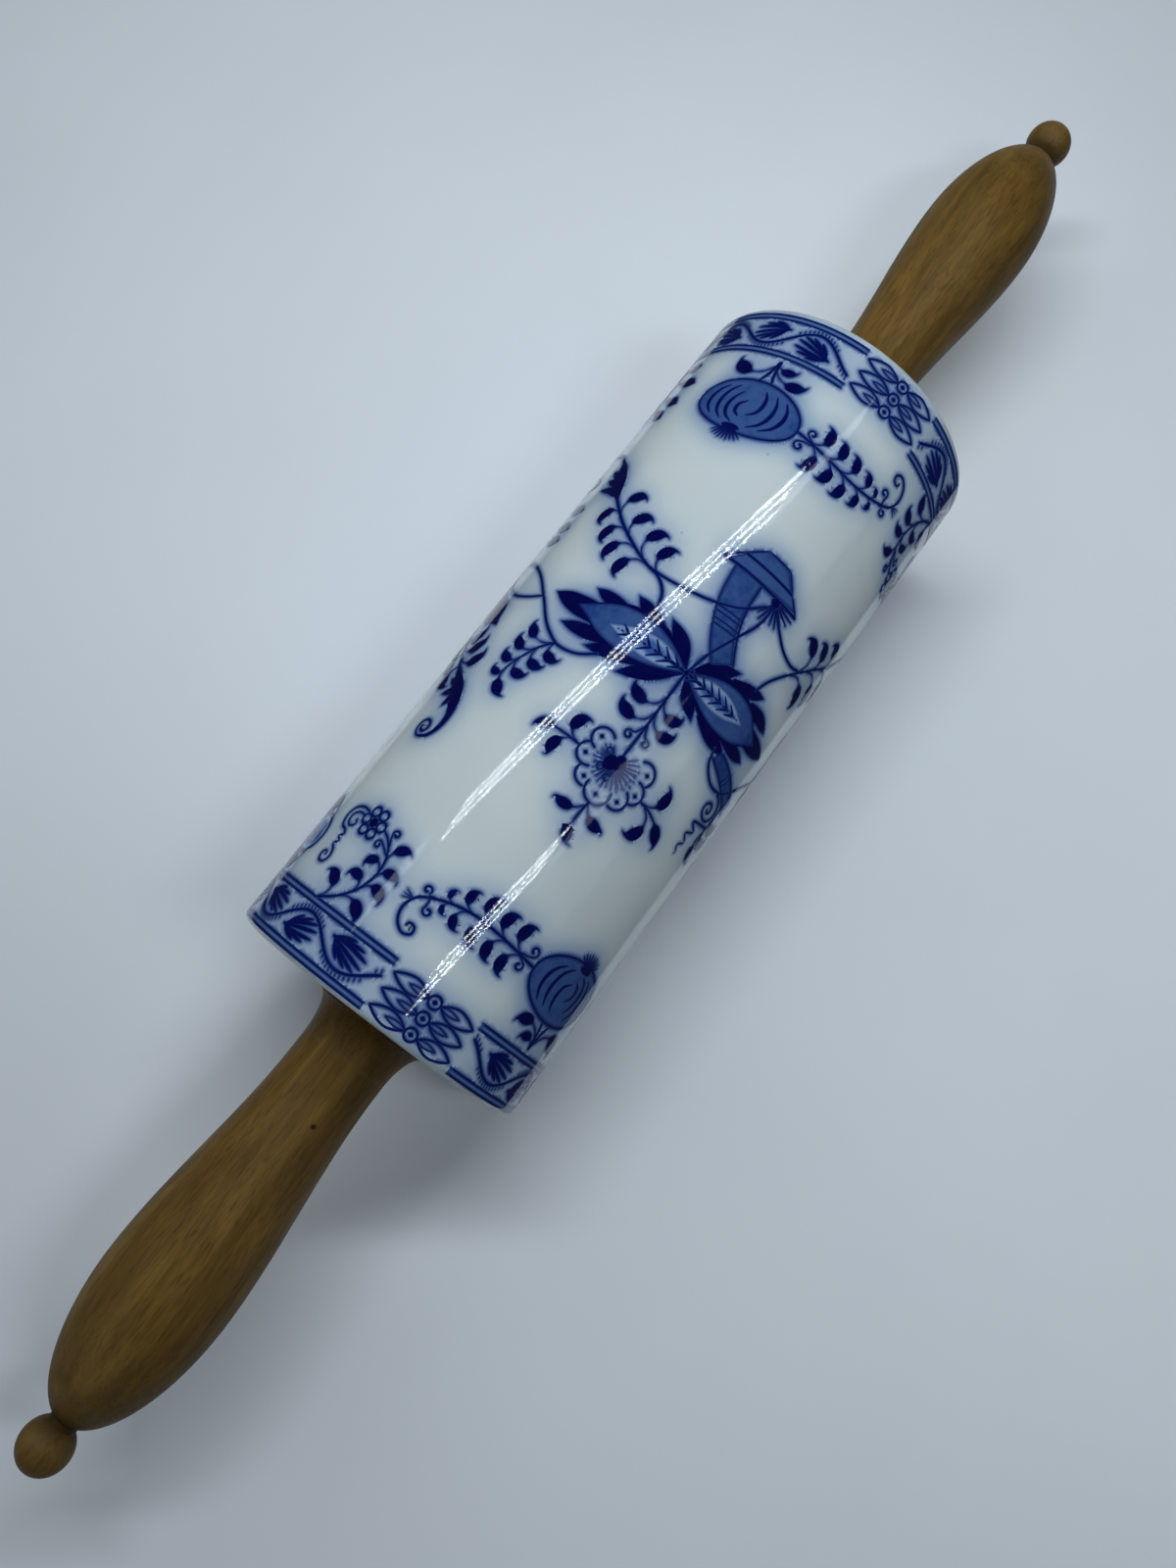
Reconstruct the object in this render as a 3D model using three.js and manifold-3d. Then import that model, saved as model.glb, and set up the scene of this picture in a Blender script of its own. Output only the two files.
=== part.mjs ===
// Porcelain rolling pin: a hollow glazed barrel turns on a beech axle between two turned wooden handles.
// Millimetres, +Z up. The pin lies along X and the origin is under the middle of the barrel, on the table.
import * as THREE from "three";
import { mergeVertices } from "three/addons/utils/BufferGeometryUtils.js";
import Module from "manifold-3d";

// Driving dimensions
const barrelDiameter = 80;
const barrelLength = 200;
const axleDiameter = 16;
const handleReach = 123; // from the barrel's end face to the tip of the ball
const swellDiameter = 32.2; // the fattest part of the grip
const neckDiameter = 23.3; // the thinnest part of the grip
const ballDiameter = 12.8;

// Clearances
const fitGap = 0.3; // between pieces that are glued, pressed or driven together
const runningGap = 0.3; // between the axle and the bush that turns on it
const endPlay = 0.3; // along the axle, each side of a bush's flange

// Porcelain barrel
const barrelRadius = barrelDiameter / 2;
const barrelHalf = barrelLength / 2;
const barrelWall = 6;
const endWall = 8;
const rimRound = 2; // outer edge of each end
const coveRound = 6; // inside corner between the wall and each end
const holeRound = 0.8; // mouth of each end hole

// Flanged bushes in the barrel's end holes
const bushWall = 3.4;
const bushRadius = axleDiameter / 2 + runningGap + bushWall;
const bushFlangeRadius = 14.5;
const bushFlangeThickness = 0.8;
const bushSleeve = endWall + 2; // the sleeve stands a little into the hollow
const endHoleRadius = bushRadius + fitGap;

// Handles, measured along the axis from the barrel's end face
const shoulderAt = endPlay + bushFlangeThickness + endPlay;
const lipThickness = 0.6; // straight edge of the flare
const lipAt = shoulderAt + lipThickness;
const flareRadius = 15.5;
const flareEnd = 13;
const neckRadius = neckDiameter / 2;
const neckAt = 17;
const swellRadius = swellDiameter / 2;
const swellAt = 75;
const noseLength = 35.7; // the swell closes in to the groove as a part of an ellipse this long
const grooveRadius = 3.6;
const ballRadius = ballDiameter / 2;
const ballAt = handleReach - ballRadius;

// Axle ends in the handles, and the steel pin that locks each one
const tenonLength = 45; // past the barrel's end face
const socketDepth = tenonLength + fitGap;
const socketRadius = axleDiameter / 2 + fitGap;
const axleChamfer = 1;
const pinRadius = 0.5;
const pinAt = 27.4;
const pinInAxle = 5; // how deep the pin stands in the axle
const pinSunk = 0.2; // how far its head lies below the neck's surface
const neckRiseAtPin = 0.35; // the grip has begun to swell where the pin stands
const drillPast = 2; // how far the drilled hole's tool stands out of the neck
// each pin's turn from upright, seen along the rolling pin from its own end
const pinTurns = { left: THREE.MathUtils.degToRad(30), right: THREE.MathUtils.degToRad(200) };

// Facets round each body, with one flat facet facing down
const barrelFacets = 48;
const turnedFacets = 36;
const pinFacets = 12;

// Steps along each rounded stretch of an outline
const coveSteps = 4;
const holeSteps = 2;
const rimSteps = 5;
const flareSteps = 7;
const swellSteps = 9;
const noseSteps = 9;
const ballSteps = 9;

// Points that lie closer together than this are one point
const weldGap = 1e-3; // in a body
const samePointGap = 1e-4; // in an outline

const glaze = new THREE.MeshStandardMaterial({ color: 0xeef2f4, roughness: 0.08, metalness: 0 });
const gripWood = new THREE.MeshStandardMaterial({ color: 0x8a6a3c, roughness: 0.55, metalness: 0 });
const axleWood = new THREE.MeshStandardMaterial({ color: 0xb8935f, roughness: 0.7, metalness: 0 });
const bushWood = new THREE.MeshStandardMaterial({ color: 0x9c7446, roughness: 0.65, metalness: 0 });
const pinSteel = new THREE.MeshStandardMaterial({ color: 0x3b3632, roughness: 0.5, metalness: 0.9 });

const wasm = await Module();
wasm.setup();

// A body turned about X. Outline points are (radius, distance along X), and flats face up, down and sideways.
function turned(outline, facets) {
  const flatOut = 1 / Math.cos(Math.PI / facets);
  const points = outline.map((p) => new THREE.Vector2(p.x * flatOut, p.y));
  return new THREE.LatheGeometry(points, facets, Math.PI / facets).rotateZ(-Math.PI / 2);
}

function asSolid(geometry) {
  const bare = geometry.clone();
  bare.deleteAttribute("normal");
  bare.deleteAttribute("uv");
  const merged = mergeVertices(bare, weldGap);
  return new wasm.Manifold(
    new wasm.Mesh({
      numProp: 3,
      vertProperties: merged.attributes.position.array,
      triVerts: new Uint32Array(merged.index.array),
    }),
  );
}

function cut(geometry, tool) {
  const mesh = asSolid(geometry).subtract(asSolid(tool)).getMesh();
  const made = new THREE.BufferGeometry();
  made.setAttribute("position", new THREE.BufferAttribute(mesh.vertProperties, 3));
  made.setIndex(new THREE.BufferAttribute(mesh.triVerts, 1));
  made.computeVertexNormals();
  return made;
}

function named(name, geometry, material) {
  const mesh = new THREE.Mesh(geometry, material);
  mesh.name = name;
  return mesh;
}

// Points along a part of an ellipse, anticlockwise unless the end angle is the smaller one
function arc(centreX, centreY, radiusX, radiusY, from, to, steps) {
  return new THREE.EllipseCurve(centreX, centreY, radiusX, radiusY, from, to, to < from).getPoints(steps);
}

// Joins stretches of outline and drops the points that two stretches share
function joined(...stretches) {
  const points = stretches.flat();
  return points.filter((p, i) => i === 0 || p.distanceTo(points[i - 1]) > samePointGap);
}

// Half of the barrel's closed outline, from the hollow's middle out round one end to the outer wall's middle
function barrelEndOutline() {
  const hollowRadius = barrelRadius - barrelWall;
  const hollowEnd = barrelHalf - endWall;
  const quarter = Math.PI / 2;
  return joined(
    arc(hollowRadius - coveRound, hollowEnd - coveRound, coveRound, coveRound, 0, quarter, coveSteps),
    [new THREE.Vector2(endHoleRadius, hollowEnd)],
    arc(endHoleRadius + holeRound, barrelHalf - holeRound, holeRound, holeRound, Math.PI, quarter, holeSteps),
    arc(barrelRadius - rimRound, barrelHalf - rimRound, rimRound, rimRound, quarter, 0, rimSteps),
  );
}

function barrelShell() {
  const end = barrelEndOutline();
  const otherEnd = end.map((p) => new THREE.Vector2(p.x, -p.y)).reverse();
  const outline = [...otherEnd, ...end];
  outline.push(outline[0].clone());
  return named("barrel", turned(outline.reverse(), barrelFacets), glaze);
}

// A locking pin, or the tool that drills its hole, standing across the right neck
function crossPin(radius, inner, outer, turn) {
  const length = outer - inner;
  return new THREE.CylinderGeometry(radius, radius, length, pinFacets)
    .translate(0, inner + length / 2, 0)
    .rotateX(Math.PI / 2 - turn)
    .translate(barrelHalf + pinAt, 0, 0);
}

const pinFoot = axleDiameter / 2 - pinInAxle;
const neckAtPin = neckRadius + neckRiseAtPin;

function pinDrill(side) {
  return crossPin(pinRadius + fitGap, pinFoot - fitGap, neckAtPin + drillPast, pinTurns[side]);
}

function axleRod() {
  const end = barrelHalf + tenonLength;
  const radius = axleDiameter / 2;
  const outline = [
    new THREE.Vector2(0, -end),
    new THREE.Vector2(radius - axleChamfer, -end),
    new THREE.Vector2(radius, -end + axleChamfer),
    new THREE.Vector2(radius, end - axleChamfer),
    new THREE.Vector2(radius - axleChamfer, end),
    new THREE.Vector2(0, end),
  ];
  const rod = turned(outline, turnedFacets);
  const drilledRight = cut(rod, pinDrill("right"));
  return named("axle_rod", cut(drilledRight, pinDrill("left").rotateZ(Math.PI)), axleWood);
}

// Socket, shoulder, flare, neck, swell, groove and ball, from the socket's floor round to the tip
function handleOutline() {
  const third = (swellAt - neckAt) / 3;
  const swell = new THREE.CubicBezierCurve(
    new THREE.Vector2(neckRadius, neckAt),
    new THREE.Vector2(neckRadius, neckAt + third),
    new THREE.Vector2(swellRadius, swellAt - third),
    new THREE.Vector2(swellRadius, swellAt),
  );
  const noseEnd = Math.acos(grooveRadius / swellRadius);
  const ballStart = -Math.acos(grooveRadius / ballRadius);
  const flareDrop = flareRadius - neckRadius;
  const outline = joined(
    [
      new THREE.Vector2(0, socketDepth),
      new THREE.Vector2(socketRadius, socketDepth),
      new THREE.Vector2(socketRadius, shoulderAt),
      new THREE.Vector2(flareRadius, shoulderAt),
    ],
    arc(flareRadius, flareEnd, flareDrop, flareEnd - lipAt, -Math.PI / 2, -Math.PI, flareSteps),
    swell.getPoints(swellSteps),
    arc(0, swellAt, swellRadius, noseLength, 0, noseEnd, noseSteps),
    arc(0, ballAt, ballRadius, ballRadius, ballStart, Math.PI / 2, ballSteps),
  );
  return outline.map((p) => new THREE.Vector2(Math.max(0, p.x), p.y + barrelHalf));
}

function handle(side) {
  const drilled = cut(turned(handleOutline(), turnedFacets), pinDrill(side));
  return named(`${side}_handle`, drilled, gripWood);
}

function bush(side) {
  const bore = axleDiameter / 2 + runningGap;
  const flangeIn = barrelHalf + endPlay;
  const flangeOut = flangeIn + bushFlangeThickness;
  const inner = barrelHalf - bushSleeve;
  const outline = [
    new THREE.Vector2(bore, inner),
    new THREE.Vector2(bushRadius, inner),
    new THREE.Vector2(bushRadius, flangeIn),
    new THREE.Vector2(bushFlangeRadius, flangeIn),
    new THREE.Vector2(bushFlangeRadius, flangeOut),
    new THREE.Vector2(bore, flangeOut),
    new THREE.Vector2(bore, inner),
  ];
  return named(`${side}_bush`, turned(outline, turnedFacets), bushWood);
}

function lockingPin(side) {
  const pin = crossPin(pinRadius, pinFoot, neckAtPin - pinSunk, pinTurns[side]);
  return named(`${side}_handle_pin`, pin, pinSteel);
}

// Everything at one end, built at the right. The left end is then turned half round about Z.
function endPieces(side) {
  const group = new THREE.Group();
  group.add(handle(side), bush(side), lockingPin(side));
  return group;
}

const pin = new THREE.Group();
pin.position.z = barrelRadius;
const leftEnd = endPieces("left");
leftEnd.rotation.z = Math.PI;
pin.add(barrelShell(), axleRod(), endPieces("right"), leftEnd);

const rollingPin = new THREE.Group();
rollingPin.add(pin);

export default rollingPin;
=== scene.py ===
import math
import bmesh
import bpy
import numpy
from mathutils import Matrix, Vector


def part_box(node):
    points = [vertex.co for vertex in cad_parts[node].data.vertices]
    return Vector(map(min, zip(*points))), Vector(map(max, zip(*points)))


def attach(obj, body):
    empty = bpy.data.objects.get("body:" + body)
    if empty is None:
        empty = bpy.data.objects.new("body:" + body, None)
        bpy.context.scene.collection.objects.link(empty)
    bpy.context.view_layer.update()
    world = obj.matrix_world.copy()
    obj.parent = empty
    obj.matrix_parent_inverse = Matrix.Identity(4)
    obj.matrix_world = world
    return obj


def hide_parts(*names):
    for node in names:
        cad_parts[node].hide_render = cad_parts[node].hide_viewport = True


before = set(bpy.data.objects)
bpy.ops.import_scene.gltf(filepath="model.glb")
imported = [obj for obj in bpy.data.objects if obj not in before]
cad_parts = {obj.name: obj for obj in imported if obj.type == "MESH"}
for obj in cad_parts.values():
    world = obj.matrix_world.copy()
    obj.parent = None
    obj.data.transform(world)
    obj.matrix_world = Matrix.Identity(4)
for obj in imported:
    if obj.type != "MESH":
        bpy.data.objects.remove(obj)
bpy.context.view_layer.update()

mm = 0.001


# the barrel, handles and axle all turn about one line
barrelLow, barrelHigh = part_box("barrel")
barrelRadius = (barrelHigh.z - barrelLow.z) / 2
barrelHalf = (barrelHigh.x - barrelLow.x) / 2
axisHeight = (barrelHigh.z + barrelLow.z) / 2
print("frame loaded, barrel", round(barrelRadius * 2, 4), "by", round(barrelHalf * 2, 4))


# small helpers for node trees and meshes
def addNode(tree, kind, **settings):
    node = tree.nodes.new(kind)
    for name, value in settings.items():
        setattr(node, name, value)
    return node


def setInputs(node, **values):
    for name, value in values.items():
        node.inputs[name.replace("_", " ")].default_value = value
    return node


def newShaderGroup(name, inputs, outputs):
    tree = bpy.data.node_groups.new(name, "ShaderNodeTree")
    for socketName, kind, value in inputs:
        socket = tree.interface.new_socket(socketName, in_out="INPUT", socket_type=kind)
        socket.default_value = value
    for socketName, kind in outputs:
        tree.interface.new_socket(socketName, in_out="OUTPUT", socket_type=kind)
    return tree, addNode(tree, "NodeGroupInput"), addNode(tree, "NodeGroupOutput")


def mixColours(tree, factor, first, second, blend="MIX"):
    node = addNode(tree, "ShaderNodeMix", data_type="RGBA", blend_type=blend)
    for socket, value in ((node.inputs[0], factor), (node.inputs[6], first), (node.inputs[7], second)):
        if isinstance(value, bpy.types.NodeSocket):
            tree.links.new(value, socket)
        else:
            socket.default_value = value
    return node.outputs[2]


def spread(tree, value, fromLow, fromHigh, toLow=0.0, toHigh=1.0):
    node = addNode(tree, "ShaderNodeMapRange")
    tree.links.new(value, node.inputs["Value"])
    setInputs(node, From_Min=fromLow, From_Max=fromHigh, To_Min=toLow, To_Max=toHigh)
    return node.outputs["Result"]


def newMaterial(name, **values):
    material = bpy.data.materials.new(name)
    material.use_nodes = True
    tree = material.node_tree
    shader = tree.nodes["Principled BSDF"]
    setInputs(shader, **values)
    return material, tree, shader


def placeGroup(tree, group, **values):
    node = addNode(tree, "ShaderNodeGroup", node_tree=group)
    return setInputs(node, **values)


def showPiece(name, mesh, material, body):
    piece = bpy.data.objects.new(name, mesh)
    bpy.context.scene.collection.objects.link(piece)
    mesh.materials.clear()
    mesh.materials.append(material)
    for face in mesh.polygons:
        face.use_smooth = True
    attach(piece, body)
    return piece


# the slow waves and fine peel of a dipped glaze, shared by the white and every blue
def makeGlazeRipple():
    tree, start, end = newShaderGroup(
        "glazeRipple",
        [
            ("Wave Size", "NodeSocketFloat", 45.0), ("Wave Depth", "NodeSocketFloat", 0.00002),
            ("Peel Size", "NodeSocketFloat", 900.0), ("Peel Depth", "NodeSocketFloat", 0.000003),
        ],
        [("Normal", "NodeSocketVector")],
    )
    place = addNode(tree, "ShaderNodeTexCoord")
    bumps = []
    for kind in ("Wave", "Peel"):
        noise = setInputs(addNode(tree, "ShaderNodeTexNoise"), Detail=1.0, Roughness=0.4)
        bump = addNode(tree, "ShaderNodeBump")
        tree.links.new(place.outputs["Object"], noise.inputs["Vector"])
        tree.links.new(start.outputs[kind + " Size"], noise.inputs["Scale"])
        tree.links.new(noise.outputs["Fac"], bump.inputs["Height"])
        tree.links.new(start.outputs[kind + " Depth"], bump.inputs["Distance"])
        bumps.append(bump)
    tree.links.new(bumps[0].outputs["Normal"], bumps[1].inputs["Normal"])
    tree.links.new(bumps[1].outputs["Normal"], end.inputs["Normal"])
    return tree


glaze = {
    "white": (0.655, 0.700, 0.705, 1),
    "pooled": (0.615, 0.672, 0.690, 1),  # where the glaze lies thicker
    "speck": (0.30, 0.31, 0.30, 1),
    "bled": (0.131, 0.215, 0.497, 1),  # tint where the blue has bled in from all round
    "nearStroke": (0.116, 0.174, 0.407, 1),  # tint against the edge of a stroke
    "cloudSize": 30.0,  # clouds of thicker glaze to a metre
    "cloudSpan": (0.35, 0.7),  # values of the cloud pattern, from thin to thick
    "speckGrid": 70.0,  # places for a speck to a metre
    "speckEdge": (0.018, 0.03),  # part of its place over which a speck fades out
    "speckStrength": 0.5,
    "roughness": 0.04,
    "ior": 1.5,
    "waveSize": 45.0,  # to a metre, as the peel is
    "waveDepth": 0.02 * mm,
    "peelSize": 1500.0,
    "peelDepth": 0.006 * mm,
}
glazeRipple = makeGlazeRipple()


def coverWithGlaze(tree, shader):
    ripple = placeGroup(
        tree, glazeRipple, Wave_Size=glaze["waveSize"], Wave_Depth=glaze["waveDepth"],
        Peel_Size=glaze["peelSize"], Peel_Depth=glaze["peelDepth"],
    )
    tree.links.new(ripple.outputs["Normal"], shader.inputs["Normal"])


# tints the white by the blue that has bled into it, on the barrel and beside the strokes
def makeBlueInGlaze():
    tree, start, end = newShaderGroup(
        "blueInGlaze",
        [("Glaze", "NodeSocketColor", (1, 1, 1, 1)), ("Near Stroke", "NodeSocketFloat", 0.0)],
        [("Colour", "NodeSocketColor")],
    )
    bled = addNode(tree, "ShaderNodeAttribute", attribute_name="blue")
    colour = start.outputs["Glaze"]
    tints = (
        (bled.outputs["Fac"], glaze["bled"]),
        (start.outputs["Near Stroke"], glaze["nearStroke"]),
    )
    for amount, tint in tints:
        power = setInputs(addNode(tree, "ShaderNodeGamma"), Color=tint)
        tree.links.new(amount, power.inputs["Gamma"])
        colour = mixColours(tree, 1.0, colour, power.outputs["Color"], "MULTIPLY")
    tree.links.new(colour, end.inputs["Colour"])
    return tree


blueInGlaze = makeBlueInGlaze()


def makeWhiteGlaze():
    material, tree, shader = newMaterial("whiteGlaze", Roughness=glaze["roughness"], IOR=glaze["ior"])
    place = addNode(tree, "ShaderNodeTexCoord")
    cloud = setInputs(addNode(tree, "ShaderNodeTexNoise"), Scale=glaze["cloudSize"], Detail=2.0)
    specks = setInputs(addNode(tree, "ShaderNodeTexVoronoi", feature="F1"), Scale=glaze["speckGrid"])
    for node in (cloud, specks):
        tree.links.new(place.outputs["Object"], node.inputs["Vector"])
    thick = spread(tree, cloud.outputs["Fac"], *glaze["cloudSpan"])
    pooled = mixColours(tree, thick, glaze["white"], glaze["pooled"])
    speckMask = spread(tree, specks.outputs["Distance"], *glaze["speckEdge"], glaze["speckStrength"], 0.0)
    tinted = placeGroup(tree, blueInGlaze)
    tree.links.new(mixColours(tree, speckMask, pooled, glaze["speck"]), tinted.inputs["Glaze"])
    tree.links.new(tinted.outputs["Colour"], shader.inputs["Base Color"])
    coverWithGlaze(tree, shader)
    return material


# turned outlines, as (distance along X, radius), swept about the axis
onAxis = 0.001 * mm  # a smaller radius is a point on the axis


def arcPoints(centreX, centreR, spanX, spanR, start, stop, steps):
    turns = [math.radians(start + (stop - start) * i / steps) for i in range(steps + 1)]
    return [(centreX + spanX * math.sin(a), centreR + spanR * math.cos(a)) for a in turns]


def turnedMesh(name, outline, segments, closed=False):
    verts, faces, rings = [], [], []
    for x, radius in outline:
        if radius < onAxis:
            rings.append([len(verts)] * segments)
            verts.append((x, 0.0, axisHeight))
            continue
        rings.append(list(range(len(verts), len(verts) + segments)))
        for i in range(segments):
            a = 2 * math.pi * i / segments
            verts.append((x, radius * math.sin(a), axisHeight + radius * math.cos(a)))
    pairs = list(zip(rings, rings[1:] + rings[:1])) if closed else list(zip(rings, rings[1:]))
    for near, far in pairs:
        for i in range(segments):
            j = (i + 1) % segments
            corners = [near[i], far[i], far[j], near[j]]
            faces.append(list(dict.fromkeys(corners)))
    mesh = bpy.data.meshes.new(name)
    mesh.from_pydata(verts, [], faces)
    mesh.validate()
    return mesh


barrelBody = {
    "wall": 6 * mm,
    "endWall": 8 * mm,
    "rimRound": 2 * mm,
    "coveRound": 6 * mm,
    "holeRound": 0.8 * mm,
    "holeRadius": 12 * mm,
    "segments": 240,
    "wallSteps": 160,  # along the outside
    "rimSteps": 8,
    "mouthSteps": 4,
    "coveSteps": 6,
}


def barrelOutline():
    b = barrelBody
    inside = barrelRadius - b["wall"]
    hollow = barrelHalf - b["endWall"]
    rim, cove, mouth = b["rimRound"], b["coveRound"], b["holeRound"]
    steps = b["wallSteps"]
    outer = [(-(barrelHalf - rim) * (1 - 2 * i / steps), barrelRadius) for i in range(steps + 1)]
    end = arcPoints(barrelHalf - rim, barrelRadius - rim, rim, rim, 0, 90, b["rimSteps"])
    end += arcPoints(barrelHalf - mouth, b["holeRadius"] + mouth, mouth, mouth, 90, 180, b["mouthSteps"])
    end += [(hollow, b["holeRadius"])]
    end += arcPoints(hollow - cove, inside - cove, cove, cove, 90, 0, b["coveSteps"])
    otherEnd = [(-x, r) for x, r in reversed(end)]
    return outer[:-1] + end + otherEnd[:-1]


def makeBarrel():
    mesh = turnedMesh("barrelBody", barrelOutline(), barrelBody["segments"], closed=True)
    piece = showPiece("barrelBody", mesh, makeWhiteGlaze(), "barrel")
    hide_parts("barrel")
    return mesh


barrelMesh = makeBarrel()
print("barrel turned")


# wood grain that runs along X, with mottling, fibres, rays and a hand-worn bloom
wood = {
    # patterns to a metre, along the grain and across it
    "bands": (7.0, 190.0),
    "mottling": (75.0, 420.0),
    "fibres": (140.0, 1900.0),
    "rays": (210.0, 1900.0),
    "patches": (28.0, 45.0),
    # values of each pattern, from none of its effect to all of it
    "bandSpan": (0.32, 0.68),
    "mottlingSpan": (0.3, 0.7),
    "fibreSpan": (0.28, 0.72),
    "raySpan": (0.62, 0.72),
    "bloomSpan": (0.45, 0.8),
    "roughSpan": (0.3, 0.75),
    "tones": (0.80, 1.20),  # darkest and lightest of the mottling and the fibres
    "roughness": (0.42, 0.66),
    "specular": 0.2,
    "reliefStrength": 0.6,
}


def makeWoodGrain():
    tree, start, end = newShaderGroup(
        "woodGrain",
        [
            ("Light", "NodeSocketColor", (0.3, 0.2, 0.1, 1)),
            ("Dark", "NodeSocketColor", (0.1, 0.06, 0.03, 1)),
            ("Fleck", "NodeSocketColor", (0.05, 0.03, 0.015, 1)),
            ("Bloom", "NodeSocketColor", (0.3, 0.3, 0.28, 1)),
            ("Fleck Amount", "NodeSocketFloat", 0.5),
            ("Bloom Amount", "NodeSocketFloat", 0.3),
        ],
        [("Colour", "NodeSocketColor"), ("Height", "NodeSocketFloat"), ("Roughness", "NodeSocketFloat")],
    )
    place = addNode(tree, "ShaderNodeTexCoord")

    def along(scaleX, scaleAcross, **settings):
        mapping = addNode(tree, "ShaderNodeMapping")
        mapping.inputs["Scale"].default_value = (scaleX, scaleAcross, scaleAcross)
        tree.links.new(place.outputs["Object"], mapping.inputs["Vector"])
        noise = setInputs(addNode(tree, "ShaderNodeTexNoise"), Scale=1.0, **settings)
        tree.links.new(mapping.outputs["Vector"], noise.inputs["Vector"])
        return noise.outputs["Fac"]

    def masked(pattern, span, amount):
        mask = addNode(tree, "ShaderNodeMath", operation="MULTIPLY")
        tree.links.new(spread(tree, pattern, *wood[span]), mask.inputs[0])
        tree.links.new(start.outputs[amount], mask.inputs[1])
        return mask.outputs[0]

    bands = along(*wood["bands"], Detail=3.0, Distortion=0.6)
    mottling = along(*wood["mottling"], Detail=2.0)
    fibres = along(*wood["fibres"], Detail=3.0)
    rays = along(*wood["rays"], Detail=0.0)
    patches = along(*wood["patches"], Detail=3.0)

    banded = spread(tree, bands, *wood["bandSpan"])
    colour = mixColours(tree, banded, start.outputs["Light"], start.outputs["Dark"])
    for pattern, span in ((mottling, "mottlingSpan"), (fibres, "fibreSpan")):
        tone = spread(tree, pattern, *wood[span], *wood["tones"])
        colour = mixColours(tree, 1.0, colour, tone, "MULTIPLY")
    rayMask = masked(rays, "raySpan", "Fleck Amount")
    bloomMask = masked(patches, "bloomSpan", "Bloom Amount")
    colour = mixColours(tree, rayMask, colour, start.outputs["Fleck"])
    colour = mixColours(tree, bloomMask, colour, start.outputs["Bloom"])
    tree.links.new(colour, end.inputs["Colour"])

    relief = addNode(tree, "ShaderNodeMath", operation="SUBTRACT")
    tree.links.new(fibres, relief.inputs[0])
    tree.links.new(rayMask, relief.inputs[1])
    tree.links.new(relief.outputs[0], end.inputs["Height"])
    roughness = spread(tree, patches, *wood["roughSpan"], *wood["roughness"])
    tree.links.new(roughness, end.inputs["Roughness"])
    return tree


woodGrain = makeWoodGrain()


def makeWood(name, look, addWearAndShading=None):
    material, tree, shader = newMaterial(name, Specular_IOR_Level=wood["specular"])
    grain = placeGroup(
        tree, woodGrain, Light=look["light"], Dark=look["dark"], Fleck=look["fleck"], Bloom=look["bloom"],
        Fleck_Amount=look["fleckAmount"], Bloom_Amount=look["bloomAmount"],
    )
    colour = grain.outputs["Colour"]
    if addWearAndShading:
        colour = addWearAndShading(tree, colour)
    bump = addNode(tree, "ShaderNodeBump")
    setInputs(bump, Strength=wood["reliefStrength"], Distance=look["relief"])
    tree.links.new(colour, shader.inputs["Base Color"])
    tree.links.new(grain.outputs["Roughness"], shader.inputs["Roughness"])
    tree.links.new(grain.outputs["Height"], bump.inputs["Height"])
    tree.links.new(bump.outputs["Normal"], shader.inputs["Normal"])
    return material


# handles: flare, neck, swelling grip, groove and ball, from the barrel's end outwards
grip = {
    "shoulder": 1.4 * mm,
    "lip": 2.0 * mm,
    "lipRound": 0.3 * mm,
    "flareRadius": 15.5 * mm,
    "flareEnd": 13 * mm,
    "neckRadius": 11.65 * mm,
    "neckAt": 17 * mm,
    "swellRadius": 16.1 * mm,
    "swellAt": 75 * mm,
    "noseLength": 35.7 * mm,
    "grooveRadius": 3.6 * mm,
    "ballRadius": 6.4 * mm,
    "reach": 123 * mm,
    "socketRadius": 8.3 * mm,
    "socketDepth": 45.3 * mm,
    "segments": 96,
    "flareSteps": 14,
    "swellSteps": 28,
    "noseSteps": 26,
    "ballSteps": 22,
    "sharpFrom": 40,  # degrees between two faces that meet at a sharp edge
    "light": (0.186, 0.100, 0.0200, 1),
    "dark": (0.108, 0.056, 0.0095, 1),
    "fleck": (0.040, 0.020, 0.004, 1),
    "bloom": (0.165, 0.112, 0.042, 1),
    "fleckAmount": 0.4,
    "bloomAmount": 0.3,
    "relief": 0.12 * mm,
    "rust": (0.034, 0.013, 0.003, 1),  # round the locking pin, and a small knot by the ball
    "knot": (-205.5 * mm, -1.5 * mm, 53.4 * mm),
    "grooveDarkAndContactShadow": (0.030, 0.014, 0.003, 1),  # darker in the groove, and a painted shadow against the barrel
    "pinAt": 27.4 * mm,
    "pinTurns": {"right": 200, "left": 30},  # degrees from upright
    "pinHole": 0.55 * mm,
    "drillFrom": 1 * mm,  # outside the socket
    "drillPast": 3 * mm,  # outside the neck
    "drillSides": 16,
    "drillTwist": 0.07,  # radians
}


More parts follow.
